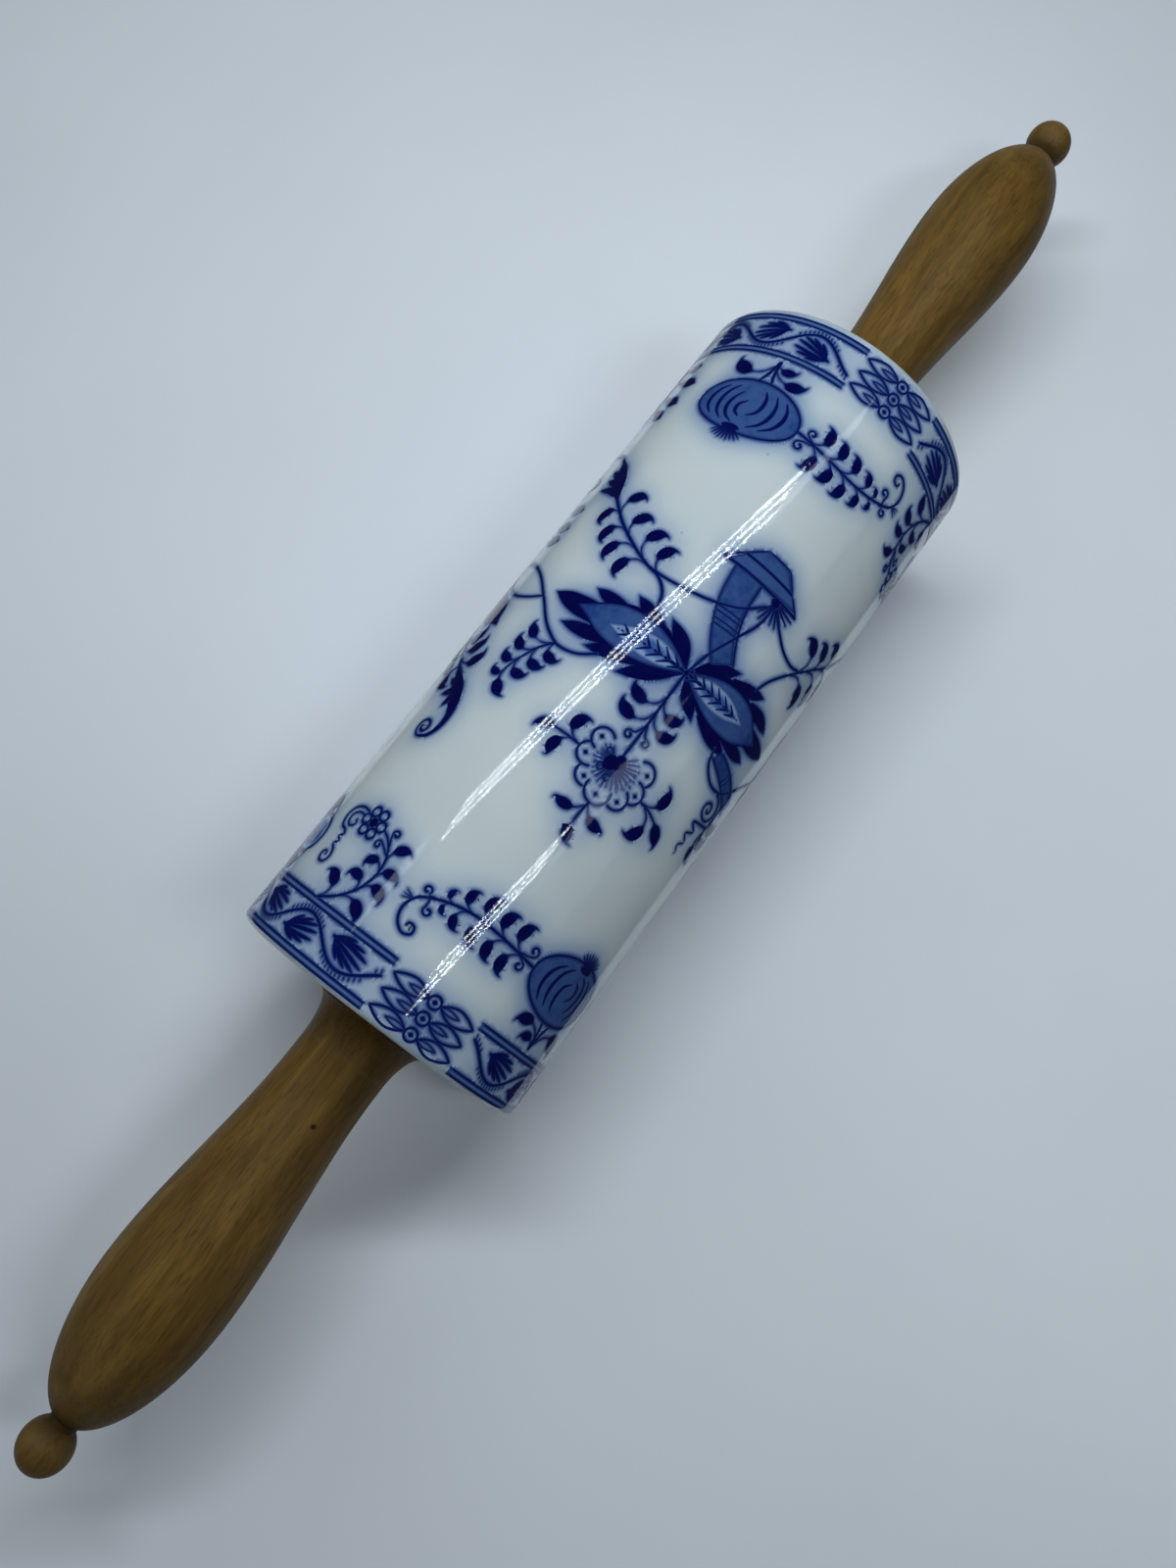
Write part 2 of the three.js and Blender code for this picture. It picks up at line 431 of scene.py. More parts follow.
def gripOutline():
    g = grip
    lipRound, ball = g["lipRound"], g["ballRadius"]
    points = [(g["socketDepth"], 0.0), (g["socketDepth"], g["socketRadius"])]
    points += [(g["shoulder"], g["socketRadius"]), (g["shoulder"], g["flareRadius"] - lipRound)]
    points += [(g["shoulder"] + lipRound, g["flareRadius"])]
    drop = g["flareRadius"] - g["neckRadius"]
    flareSpan = g["lip"] - g["flareEnd"]
    points += arcPoints(g["flareEnd"], g["flareRadius"], flareSpan, -drop, 90, 0, g["flareSteps"])
    span, rise = g["swellAt"] - g["neckAt"], g["swellRadius"] - g["neckRadius"]
    for i in range(g["swellSteps"] + 1):
        t = i / g["swellSteps"]
        ease = t * t * (3 - 2 * t)
        points.append((g["neckAt"] + span * t, g["neckRadius"] + rise * ease))
    noseStop = math.degrees(math.acos(g["grooveRadius"] / g["swellRadius"]))
    nose = arcPoints(g["swellAt"], 0.0, g["noseLength"], g["swellRadius"], 0, noseStop, g["noseSteps"])
    points += nose[1:]
    ballStart = -math.degrees(math.acos(g["grooveRadius"] / ball))
    points += arcPoints(g["reach"] - ball, 0.0, ball, ball, ballStart, 90, g["ballSteps"])
    return [(x + barrelHalf, r) for x, r in points]


# wear of the handles, with painted light, painted shade and a painted highlight: where each kind is, the
# distances from there over which it fades, and its strength
wearAndShading = {
    "patchSize": 260.0,  # uneven patches to a metre
    "paintedSideShading": (0.86, 1.14),  # tones of painted shade on the right side and of painted light on the left side
    "dust": {
        "at": grip["reach"] - 14 * mm,
        "fade": (2 * mm, 26 * mm),
        "strength": 0.55,
        "patchSpan": (0.3, 0.7),
    },
    # a paler ring on the flare, partly rubbed wear and partly a painted highlight
    "rubbedAndHighlight": {"at": 11.5 * mm, "fade": (0.2 * mm, 0.9 * mm), "strength": 0.5, "patchSpan": (0.4, 0.65)},
    "pinRust": {"fade": (0.5 * mm, 1.2 * mm), "strength": 0.5},
    "knot": {"fade": (0.3 * mm, 1.0 * mm), "strength": 0.8},
    "groove": {
        "at": grip["reach"] - 2 * grip["ballRadius"] + 0.3 * mm,
        "fade": (0.4 * mm, 4.5 * mm),
        "strength": 0.85,
    },
    # painted shadow where the handle meets the barrel
    "shoulder": {"at": 0.0, "fade": (1 * mm, 12 * mm), "strength": 0.35},
}


def wearAndShadingAlong(tree, colour):
    # painted light on one side and painted shade on the other, dust towards the ball, a paler ring on the
    # flare that is partly rubbed wear and partly a painted highlight, rust, a knot, darker in the groove, and
    # a painted shadow against the barrel
    g = grip
    place = addNode(tree, "ShaderNodeTexCoord")
    parts = addNode(tree, "ShaderNodeSeparateXYZ")
    away = addNode(tree, "ShaderNodeMath", operation="ABSOLUTE")
    tree.links.new(place.outputs["Object"], parts.inputs["Vector"])
    tree.links.new(parts.outputs["X"], away.inputs[0])
    patches = setInputs(addNode(tree, "ShaderNodeTexNoise"), Scale=wearAndShading["patchSize"], Detail=3.0)
    tree.links.new(place.outputs["Object"], patches.inputs["Vector"])

    def fading(distance, kind):
        return spread(tree, distance, *wearAndShading[kind]["fade"], wearAndShading[kind]["strength"], 0.0)

    def ringOf(kind):
        # round both handles, at one distance from the barrel's end
        gap = addNode(tree, "ShaderNodeMath", operation="SUBTRACT")
        gap.inputs[1].default_value = barrelHalf + wearAndShading[kind]["at"]
        tree.links.new(away.outputs[0], gap.inputs[0])
        size = addNode(tree, "ShaderNodeMath", operation="ABSOLUTE")
        tree.links.new(gap.outputs[0], size.inputs[0])
        return fading(size.outputs[0], kind)

    def patchyRingOf(kind):
        product = addNode(tree, "ShaderNodeMath", operation="MULTIPLY")
        tree.links.new(ringOf(kind), product.inputs[0])
        tree.links.new(spread(tree, patches.outputs["Fac"], *wearAndShading[kind]["patchSpan"]), product.inputs[1])
        return product.outputs[0]

    def spotOf(kind, point):
        gap = addNode(tree, "ShaderNodeVectorMath", operation="DISTANCE")
        gap.inputs[1].default_value = point
        tree.links.new(place.outputs["Object"], gap.inputs[0])
        return fading(gap.outputs["Value"], kind)

    # painted light on the +Y side of each handle and painted shade on its -Y side, as the lamps fall
    paintedSideShading = spread(tree, parts.outputs["Y"], -g["swellRadius"], g["swellRadius"], *wearAndShading["paintedSideShading"])
    colour = mixColours(tree, 1.0, colour, paintedSideShading, "MULTIPLY")
    # dust towards the ball, and the paler ring on the flare that is partly a painted highlight
    for kind in ("dust", "rubbedAndHighlight"):
        colour = mixColours(tree, patchyRingOf(kind), colour, g["bloom"])
    for side, turn in ((1, g["pinTurns"]["right"]), (-1, g["pinTurns"]["left"])):
        lean = math.radians(turn)
        pinTop = Vector((barrelHalf + g["pinAt"], g["neckRadius"] * math.sin(lean), 0)) * side
        pinTop.z = axisHeight + g["neckRadius"] * math.cos(lean)
        colour = mixColours(tree, spotOf("pinRust", pinTop), colour, g["rust"])
    colour = mixColours(tree, spotOf("knot", g["knot"]), colour, g["rust"])
    # darker in the groove, and a painted shadow against the barrel's end
    most = addNode(tree, "ShaderNodeMath", operation="MAXIMUM")
    for socket, kind in zip(most.inputs, ("groove", "shoulder")):
        tree.links.new(ringOf(kind), socket)
    return mixColours(tree, most.outputs[0], colour, g["grooveDarkAndContactShadow"])


def drillForPin(mesh, turn):
    # a hole across the neck that shows the end of the locking pin
    g = grip
    drill = bmesh.new()
    inner, outer = g["socketRadius"] + g["drillFrom"], g["neckRadius"] + g["drillPast"]
    place = Matrix.Translation((barrelHalf + g["pinAt"], 0, axisHeight))
    place @= Matrix.Rotation(math.radians(-turn), 4, "X")
    place @= Matrix.Translation((0, 0, (inner + outer) / 2))
    # twisted a little, so that no corner of the hole falls on an edge of the turning
    place @= Matrix.Rotation(g["drillTwist"], 4, "Z")
    hole = g["pinHole"]
    bmesh.ops.create_cone(
        drill, cap_ends=True, segments=g["drillSides"], radius1=hole, radius2=hole, depth=outer - inner,
        matrix=place,
    )
    drillMesh = bpy.data.meshes.new("drill")
    drill.to_mesh(drillMesh)
    drill.free()
    objects = [bpy.data.objects.new("blank", mesh), bpy.data.objects.new("drill", drillMesh)]
    for thing in objects:
        bpy.context.scene.collection.objects.link(thing)
    cut = objects[0].modifiers.new("cut", "BOOLEAN")
    cut.operation, cut.solver, cut.object = "DIFFERENCE", "EXACT", objects[1]
    evaluated = objects[0].evaluated_get(bpy.context.evaluated_depsgraph_get())
    drilled = bpy.data.meshes.new_from_object(evaluated)
    for thing in objects:
        bpy.data.objects.remove(thing)
    return drilled


def makeHandles():
    g = grip
    material = makeWood("gripWood", g, wearAndShadingAlong)
    outline = gripOutline()
    for side, turn in (("right", 0), ("left", math.pi)):
        mesh = turnedMesh(side + "Grip", outline, g["segments"])
        mesh.flip_normals()
        mesh = drillForPin(mesh, g["pinTurns"][side])
        mesh.name = side + "Grip"
        mesh.transform(Matrix.Rotation(turn, 4, "Z"))
        piece = showPiece(side + "Grip", mesh, material, "handles")
        mesh.set_sharp_from_angle(angle=math.radians(g["sharpFrom"]))
        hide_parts(side + "_handle")


makeHandles()
print("handles turned")


# CAD pieces that keep their shape: axle, bushes and the small steel pins
axle = {
    "light": (0.42, 0.29, 0.16, 1),
    "dark": (0.27, 0.17, 0.085, 1),
    "fleck": (0.15, 0.09, 0.045, 1),
    "bloom": (0.4, 0.34, 0.26, 1),
    "fleckAmount": 0.5,
    "bloomAmount": 0.2,
    "relief": 0.08 * mm,
}
bush = {
    "light": (0.24, 0.15, 0.07, 1),
    "dark": (0.13, 0.075, 0.03, 1),
    "fleck": (0.07, 0.04, 0.018, 1),
    "bloom": (0.25, 0.2, 0.14, 1),
    "fleckAmount": 0.5,
    "bloomAmount": 0.3,
    "relief": 0.08 * mm,
}
handlePin = {
    "steel": (0.03, 0.026, 0.022, 1),
    "rust": (0.07, 0.04, 0.02, 1),
    "rustSize": 1800.0,  # spots to a metre
    "metallic": 0.85,
    "roughSpan": (0.3, 0.7),
    "roughness": (0.35, 0.75),  # of the steel and of the rust
}


def makePinSteel():
    p = handlePin
    material, tree, shader = newMaterial("pinSteel", Metallic=p["metallic"])
    place = addNode(tree, "ShaderNodeTexCoord")
    rust = setInputs(addNode(tree, "ShaderNodeTexNoise"), Scale=p["rustSize"], Detail=3.0)
    tree.links.new(place.outputs["Object"], rust.inputs["Vector"])
    stain = mixColours(tree, rust.outputs["Fac"], p["steel"], p["rust"])
    tree.links.new(stain, shader.inputs["Base Color"])
    roughness = spread(tree, rust.outputs["Fac"], *p["roughSpan"], *p["roughness"])
    tree.links.new(roughness, shader.inputs["Roughness"])
    return material


def finishSmallPieces():
    axleWood = makeWood("axleWood", axle)
    bushWood = makeWood("bushWood", bush)
    pinSteel = makePinSteel()
    finishes = {
        "axle_rod": axleWood, "left_bush": bushWood, "right_bush": bushWood,
        "left_handle_pin": pinSteel, "right_handle_pin": pinSteel,
    }
    for node, material in finishes.items():
        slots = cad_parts[node].data.materials
        slots.clear()
        slots.append(material)


finishSmallPieces()
print("axle, bushes and pins finished")


# brushwork, drawn flat in millimetres: x along the pin, v round the barrel from its top line
printed = {
    "middle": -15.2,  # v of the centre that the side ornaments turn half round about
    "repeats": 2,
    "slide": -0.7,  # both side bands sit a little to the left
    "steepest": 0.5,  # how far outward each face of the print has to look
    "step": 0.5,  # length of one piece of a stroke
    "straightPieces": 3,  # the pieces of a straight stroke are this many times as long
    "leastGap": 1e-4,  # points that lie closer are one place
    "thinnest": 0.03,  # half width that no stroke goes below
    "blunt": 0.1,  # the very end of a stroke counts as this far in from its edge
    "shrink": 0.05,  # a stroke dries a little narrower than it was drawn
    "hazeWidth": 1.5,  # how far the blue has flowed out from a stroke
    "hazeFade": 0.42,  # over this length it falls to about a third
    "hazeStep": 0.9,
    "hazeCap": 4,  # points of the rounding past each end
    "bleedReach": 3.0,  # spread of the fainter blue that reaches further
    "bleedRows": 256,  # cells round one repeat of the drawing
    "bleedMargin": 10.0,  # clear space past each end of the barrel
    "bleedDab": (0.3, 0.15),  # a stroke fills the cells in dabs of this length and width
    # how far each layer lies off the glaze, and how many points it has across a stroke
    "layers": {
        "haze": (0.012, 3), "deep": (0.036, 5), "wash": (0.055, 15), "pale": (0.072, 7), "line": (0.09, 3),
    },
    "crown": 0.01,  # rise per length in from the edge, so that the darker of two strokes lies on top
    "crownWidth": 1.5,
    "mapStart": -0.55,  # turns of the barrel that the flat map of the print begins at and takes in
    "mapTurns": 1.5,
}
girth = 2 * math.pi * barrelRadius / mm
period = girth / printed["repeats"]


def smoothPath(points, step):
    # a curve through every point, eased so that uneven spacing does not overshoot
    gaps = [max(math.dist(a[:2], b[:2]), printed["leastGap"]) for a, b in zip(points, points[1:])]
    slopes = [[(q - p) / g for p, q in zip(a, b)] for a, b, g in zip(points, points[1:], gaps)]
    tangents = [slopes[0]]
    for before, after, g0, g1 in zip(slopes, slopes[1:], gaps, gaps[1:]):
        tangents.append([(p * g1 + q * g0) / (g0 + g1) for p, q in zip(before, after)])
    tangents.append(slopes[-1])
    path = [tuple(points[0])]
    if len(points) == 2:
        step *= printed["straightPieces"]
    for i, g in enumerate(gaps):
        count = max(2, math.ceil(g / step))
        for k in range(1, count + 1):
            t = k / count
            a, b = 2 * t**3 - 3 * t**2 + 1, t**3 - 2 * t**2 + t
            c, d = 3 * t**2 - 2 * t**3, t**3 - t**2
            path.append(tuple(
                a * p + b * g * m + c * q + d * g * n
                for p, m, q, n in zip(points[i], tangents[i], points[i + 1], tangents[i + 1])
            ))
    return path


def between(first, last, t):
    return first[0] + (last[0] - first[0]) * t, first[1] + (last[1] - first[1]) * t


# kinds of stroke. Each gives a list of (tone, points), and a point is (x, v, half width)
def line(points, width=0.4, tip=None, tone="line"):
    last = width if tip is None else tip
    count = len(points) - 1
    return [(tone, [(x, v, width + (last - width) * i / count) for i, (x, v) in enumerate(points)])]


def swell(points, width, ends=0.1):
    # thin at both ends
    count = len(points) - 1
    widths = [ends + (width - ends) * math.sin(math.pi * i / count) for i in range(count + 1)]
    return [("line", [(x, v, w) for (x, v), w in zip(points, widths)])]


def flame(root, middle, tip, rootWidth, width, tone="deep"):
    # a pointed tooth
    shoulder = ((middle[0] + tip[0]) / 2, (middle[1] + tip[1]) / 2)
    shoulderWidth, tipWidth = width * 0.72, 0.06
    return [(tone, [(*root, rootWidth), (*middle, width), (*shoulder, shoulderWidth), (*tip, tipWidth)])]


curlStroke = {
    "leastSteps": 8,
    "stepsPerTurn": 10,
    "closing": 0.72,  # part of the radius that is wound in
    "press": (0.9, 0.45),  # width where the winding starts, and what it gains
}


def curl(x, v, radius, start, turns, width=0.34, root=None):
    # a spiral, wound inwards, on a stalk from its root
    steps = max(curlStroke["leastSteps"], int(abs(turns) * curlStroke["stepsPerTurn"]))
    first, gain = curlStroke["press"]
    points = [(*root, width)] if root else []
    for i in range(steps + 1):
        t = i / steps
        a = math.radians(start + 360 * turns * t)
        r = radius * (1 - curlStroke["closing"] * t)
        points.append((x + r * math.cos(a), v + r * math.sin(a), width * (first + gain * t)))
    return [("line", points)]


def ring(x, v, across, along, width=0.34):
    # the brush runs on a little past where it began
    steps, overlap = 20, 3
    turns = [2 * math.pi * i / steps for i in range(steps + overlap)]
    return [("line", [(x + across * math.cos(a), v + along * math.sin(a), width) for a in turns])]


def disc(x, v, across, along, tone="line"):
    stops = (-1, -0.98, -0.92, -0.78, -0.5, 0, 0.5, 0.78, 0.92, 0.98, 1)
    widths = [max(printed["thinnest"], across * math.sqrt(1 - t * t)) for t in stops]
    return [(tone, [(x, v + along * t, w) for t, w in zip(stops, widths)])]


def lens(base, tip, half, tone, belly=0.5):
    # a leaf blade, pointed at both ends
    shape = (
        (0, 0.03), (0.12, 0.42), (belly * 0.6, 0.84), (belly, 1), (belly + (1 - belly) * 0.45, 0.8),
        (0.9, 0.3), (1, 0.03),
    )
    return [(tone, [(*between(base, tip, t), half * w) for t, w in shape])]


def bladeOutline(base, tip, half, width):
    along = Vector(tip) - Vector(base)
    aside = Vector((-along.y, along.x)).normalized()
    stops = ((0, 0), (0.2, 0.66), (0.45, 1), (0.72, 0.72), (1, 0))
    strokes = []
    for side in (1, -1):
        points = [Vector(base) + along * t + aside * half * w * side for t, w in stops]
        strokes += line([tuple(p) for p in points], width)
    return strokes


leafStroke = {
    "plump": 1.06,  # a leaf is drawn a little fatter than it is given
    "leastLean": 0.3,  # half of the stalk's turn, in radians
    "mostLean": 0.95,
    "mostLeanBack": 0.5,  # where the tail curls back
    "stalk": ((0, 0.32), (0.4, 0.27)),  # (part of the way to the leaf, half width)
    "stalkEnd": 0.45,
    # (distance past the middle, half width), both for a leaf of half width 1
    "blade": ((-1.6, 0.32), (-1.15, 0.76), (-0.4, 1), (0.4, 1), (1.1, 0.73), (1.6, 0.4)),
    "tail": ((0.3, 0.2), (0.75, 0.08)),  # (turn, half width)
    "tailStep": 0.42,
    "tailWidth": 0.1,  # at least
}


def commaLeaf(base, middle, heading, fat=1.4, flick=1):
    # the stalk leaves the stem along it, arches over and swells into a plump leaf with a thin tail
    # the tail curls on round, or back where flick is below 0
    leaf = leafStroke
    chord = Vector(middle) - Vector(base)
    chordTurn = math.atan2(chord.y, chord.x)
    lean = (chordTurn - heading + math.pi) % (2 * math.pi) - math.pi
    side = 1 if lean > 0 else -1
    lean = min(max(abs(lean), leaf["leastLean"]), leaf["mostLean" if flick > 0 else "mostLeanBack"])
    radius = chord.length / (2 * math.sin(lean))
    reach = 2 * radius * lean
    start = chordTurn - side * lean
    fat *= leaf["plump"]
    stops = [(part * reach, width) for part, width in leaf["stalk"]]
    for along, width in leaf["blade"]:
        if reach + along * fat > leaf["stalkEnd"] * reach:
            stops.append((reach + along * fat, fat * width))
    points = []
    for distance, width in stops:
        turn = distance / radius
        forward, aside = radius * math.sin(turn), radius * (1 - math.cos(turn)) * side
        x = base[0] + forward * math.cos(start) - aside * math.sin(start)
        v = base[1] + forward * math.sin(start) + aside * math.cos(start)
        points.append((x, v, width))
    heading = start + side * (reach + leaf["blade"][-1][0] * fat) / radius
    for bend, width in leaf["tail"]:
        x += leaf["tailStep"] * fat * math.cos(heading + side * flick * bend)
        v += leaf["tailStep"] * fat * math.sin(heading + side * flick * bend)
        points.append((x, v, max(leaf["tailWidth"], fat * width)))
    return [("line", points)]


def dropLeaf(base, tip, fat):
    # a leaf that hangs straight from its stalk
    stops = ((0, 0.3), (0.35, 0.36), (0.55, fat * 0.75), (0.72, fat), (0.9, fat * 0.6), (1, 0.07))
    return [("line", [(*between(base, tip, t), width) for t, width in stops])]


def sprig(stem, leaves, width=0.42, tip=0.3, lag=0.85):
    # leaves are (x, v, fat) and perhaps a flick, and each stalk leaves the stem a little before its leaf
    strokes = line(stem, width, tip)
    stemStep = 0.4
    path = [Vector(p[:2]) for p in smoothPath([(x, v, 0.0) for x, v in stem], stemStep)]
    for x, v, *shape in leaves:
        place = Vector((x, v))
        nearest = min(range(len(path)), key=lambda i: (path[i] - place).length)
        back = int((path[nearest] - place).length * lag / stemStep)
        root = min(max(0, nearest - back), len(path) - 2)
        along = path[root + 1] - path[root]
        strokes += commaLeaf(path[root], place, math.atan2(along.y, along.x), *shape)
    return strokes


def halfTurned(strokes):
    return [(tone, [(-x, 2 * printed["middle"] - v, w) for x, v, w in points]) for tone, points in strokes]


# the band of border at the left end. The right end is the same, turned half round
border = {
    "outerPair": (-98.05, -96.6),
    "innerPair": (-86.6, -85.2),
    "lineWidth": 0.38,
    "betweenLines": 0.45,
    "vineAt": -91.6,
    "vineSwing": 3.3,
    "vinePeriod": 26.9,
    "vineLeftmost": 6.25,  # v of a place where the vine is nearest the rim
    "vineInset": 0.6,  # the vine stops this far from the panel
    "vineWidth": 0.46,
    "vineSteps": 64,
    "tickGap": 1.0,
    "tickFrom": 0.3,  # off the vine
    "tickSize": (1.0, 0.3),
    "tickWidth": 0.23,
    "bareSwing": 0.15,  # no ticks where the vine crosses over, up to this part of its swing
    "leafAside": 2.3,  # a leaf's foot, from the vine's middle line and from its bend
    "leafPastBend": 5.3,
    "leafLean": 15,
    "leafRoom": 7,  # what a leaf needs before the panel
    "panelHalf": 11.8,  # half the length of the panel that breaks the band
    "panelAt": -91.9,
    "beadGap": 4.15,
    "beadRadius": 1.5,
    "beadHeart": 0.62,
    "panelLine": 0.38,
    "petalHalf": 1.85,
    "petalFrom": 0.1,  # off the bead
    "petalInset": 0.8,  # from the panel's end
    "veinEnd": 6.8,
    "veinHalf": 0.62,
    "veinLine": 0.28,
}


def hangingLeaf(x, v, lean):
    # a feathery leaf of long fingers that hang from one foot
    strokes = []
    # (turn from the middle finger, length, start below the foot)
    fingers = (
        (0, 10.2, 0), (10, 9.4, 0.6), (-10, 9.2, 0.6), (21, 7.6, 0.9), (-21, 7.2, 0.9),
        (34, 5.2, 0.8), (-34, 5.0, 0.8),
    )
    # (part of the way, half width, part of the bow)
    stops = ((0, 0.45, 0), (0.45, 0.62, 1), (0.85, 0.5, 0.6), (1, 0.28, 0.3))
    bend = 0.05  # each side finger's bow, as a part of its length
    for angle, length, start in fingers:
        a = math.radians(-90 + lean + angle)
        direction = Vector((math.cos(a), math.sin(a)))
        bow = Vector((-direction.y, direction.x)) * math.copysign(bend * length, angle) * (angle != 0)
        foot = Vector((x, v)) + Vector((0, -start))
        points = []
        for t, w, b in stops:
            place = foot + (direction * length * t + bow * b)
            points.append((place.x, place.y, w))
        strokes.append(("line", points))
    return strokes


def borderBand():
    b = border
    low = printed["middle"] + b["panelHalf"]
    high = printed["middle"] + period - b["panelHalf"]
    strokes = []
    for pair in (b["outerPair"], b["innerPair"]):
        for x in pair:
            strokes += line([(x, low), (x, high)], b["lineWidth"])
        centre = (pair[0] + pair[1]) / 2
        strokes += line([(centre, low), (centre, high)], b["betweenLines"], tone="pale")

    def vine(v):
        turn = 2 * math.pi * (v - b["vineLeftmost"]) / b["vinePeriod"]
        return b["vineAt"] - b["vineSwing"] * math.cos(turn)

    steps, inset = b["vineSteps"], b["vineInset"]
    stops = [low + inset + (high - low - 2 * inset) * i / steps for i in range(steps + 1)]
    strokes += line([(vine(v), v) for v in stops], b["vineWidth"])
    ticks = int((high - low) / b["tickGap"])
    for i in range(1, ticks):
        v = low + b["tickGap"] * i
        swing = (vine(v) - b["vineAt"]) / b["vineSwing"]
        if abs(swing) > b["bareSwing"]:
            side = 1 if swing > 0 else -1
            x = vine(v) + side * b["tickFrom"]
            out, up = b["tickSize"]
            strokes += line([(x, v), (x + side * out, v + up * side)], b["tickWidth"])
    # one leaf in each bay, on the other side of each bend
    bend = 0
    v = b["vineLeftmost"]
    while v + b["leafRoom"] < high:
        side = 1 if bend % 2 == 0 else -1
        x = b["vineAt"] + side * b["leafAside"]
        strokes += hangingLeaf(x, v + b["leafPastBend"], -side * b["leafLean"])
        bend += 1
        v += b["vinePeriod"] / 2
    return strokes + panel()


def panel():
    b = border
    middle = printed["middle"]
    strokes = []
    for i in (-1, 0, 1):
        x = b["panelAt"] + i * b["beadGap"]
        strokes += ring(x, middle, b["beadRadius"], b["beadRadius"], b["panelLine"])
        strokes += disc(x, middle, b["beadHeart"], b["beadHeart"])
        for side in (1, -1):
            foot = (x, middle + side * (b["beadRadius"] + b["petalFrom"]))
            tip = (x, middle + side * (b["panelHalf"] - b["petalInset"]))
            strokes += bladeOutline(foot, tip, b["petalHalf"], b["panelLine"])
            strokes += bladeOutline(foot, (x, middle + side * b["veinEnd"]), b["veinHalf"], b["veinLine"])
    return strokes


# the onion by the right border, its hanging spray, and the flower spray at the left border
def onion():
    x, v, across, along = 68.8, 12.6, 8.0, 14.0
    strokes = disc(x, v, across, along, "wash") + ring(x, v, across, along, 0.4)
    for points in (
        [(63.9, 20.8), (66, 22.8), (68.6, 23.5), (71.4, 22.7), (73.6, 20.7)],
        [(63.2, 17.3), (65.4, 19.6), (68.5, 20.5), (71.6, 19.9), (74.2, 17.9)],
        [(63.2, 14.0), (65, 16.7), (67.6, 17.8), (70.2, 17.4), (72.6, 16)],
        [(65.3, 13.2), (66.6, 14.9), (68.3, 15.2), (70.6, 13.4)],
        [(66.3, 11.9), (67.9, 9.9), (70.4, 9.3), (72.6, 9.7), (74.6, 10.9)],
        [(63.2, 9.8), (65.4, 7.2), (68.6, 6.1), (71.6, 6.3), (74.4, 7.6)],
        [(63.7, 6.6), (66, 4), (69, 2.9), (71.8, 3.3), (74, 4.7)],
    ):
        strokes += swell(points, 0.68, 0.28)
    # the tuft at its tip
    tuftX, tuftV = 62.2, 13.1
    hairs = 9
    for i in range(hairs):
        a = math.radians(180 + (i - hairs // 2) * 13)
        length = 4.5 + 0.2 * (i % 2)
        stops = ((0.8, 1.2), (length * 0.6, length * 0.75), (length * 0.9, length * 1.1))
        strokes += line([(tuftX + p * math.cos(a), tuftV + q * math.sin(a)) for p, q in stops], 0.6, 0.22)
    strokes += disc(62.0, tuftV, 1.1, 2.6)
    # the stalk to the border
    strokes += line([(76.6, 14.9), (79, 13.9), (83.9, 12.9)], 0.36, 0.6)
    strokes += line([(76.7, 11.2), (79.4, 12.1), (83.9, 12.9)], 0.36, 0.6)
    strokes += commaLeaf((82.4, 13.2), (79.6, 21.4), math.radians(155), 1.75)
    strokes += commaLeaf((82.8, 12.8), (81.6, 9.4), math.radians(225), 1.15)
    strokes += commaLeaf((81.4, 12.8), (78.6, 5.8), math.radians(215), 1.45)
    return strokes


def hangingSpray():
    stem = [
        (69.1, -1.4), (68.5, -8), (68.1, -14), (68, -18.5), (68.7, -23.5), (70.4, -28.6), (72.6, -32.2),
        (76, -33.4), (79.2, -32), (80.3, -29.8), (79.4, -28.2), (77.9, -28.5), (77.7, -30), (78.6, -30.3),
    ]
    leaves = [
        (64.2, -8.5, 1.4), (64.4, -13.4, 1.35), (64, -18.2, 1.3), (65.4, -22.9, 1.1), (67.4, -26.6, 0.75),
        (72.8, -8.9, 1.35), (72.4, -13.4, 1.3), (72.2, -18, 1.25), (72.1, -22.8, 1.05), (71.4, -26.3, 0.7),
    ]
    strokes = sprig(stem, leaves, 0.44, 0.36, lag=0.9)
    strokes += curl(66.2, -3.6, 1.35, 10, 1.0, root=(68.3, -6.6))
    strokes += curl(70.8, -4.9, 1.2, 170, -1.0, root=(68.4, -7.4))
    strokes += curl(73.6, -28.4, 1.2, 235, 1.0, root=(70.9, -29.6))
    strokes += curl(69.8, -31.2, 1.1, 60, 1.0, root=(70.2, -28.4))
    for x in (72.2, 73.2, 74.1):
        strokes += line([(73.2, -32.6), (x, -34.9)], 0.36, 0.14)
    return strokes


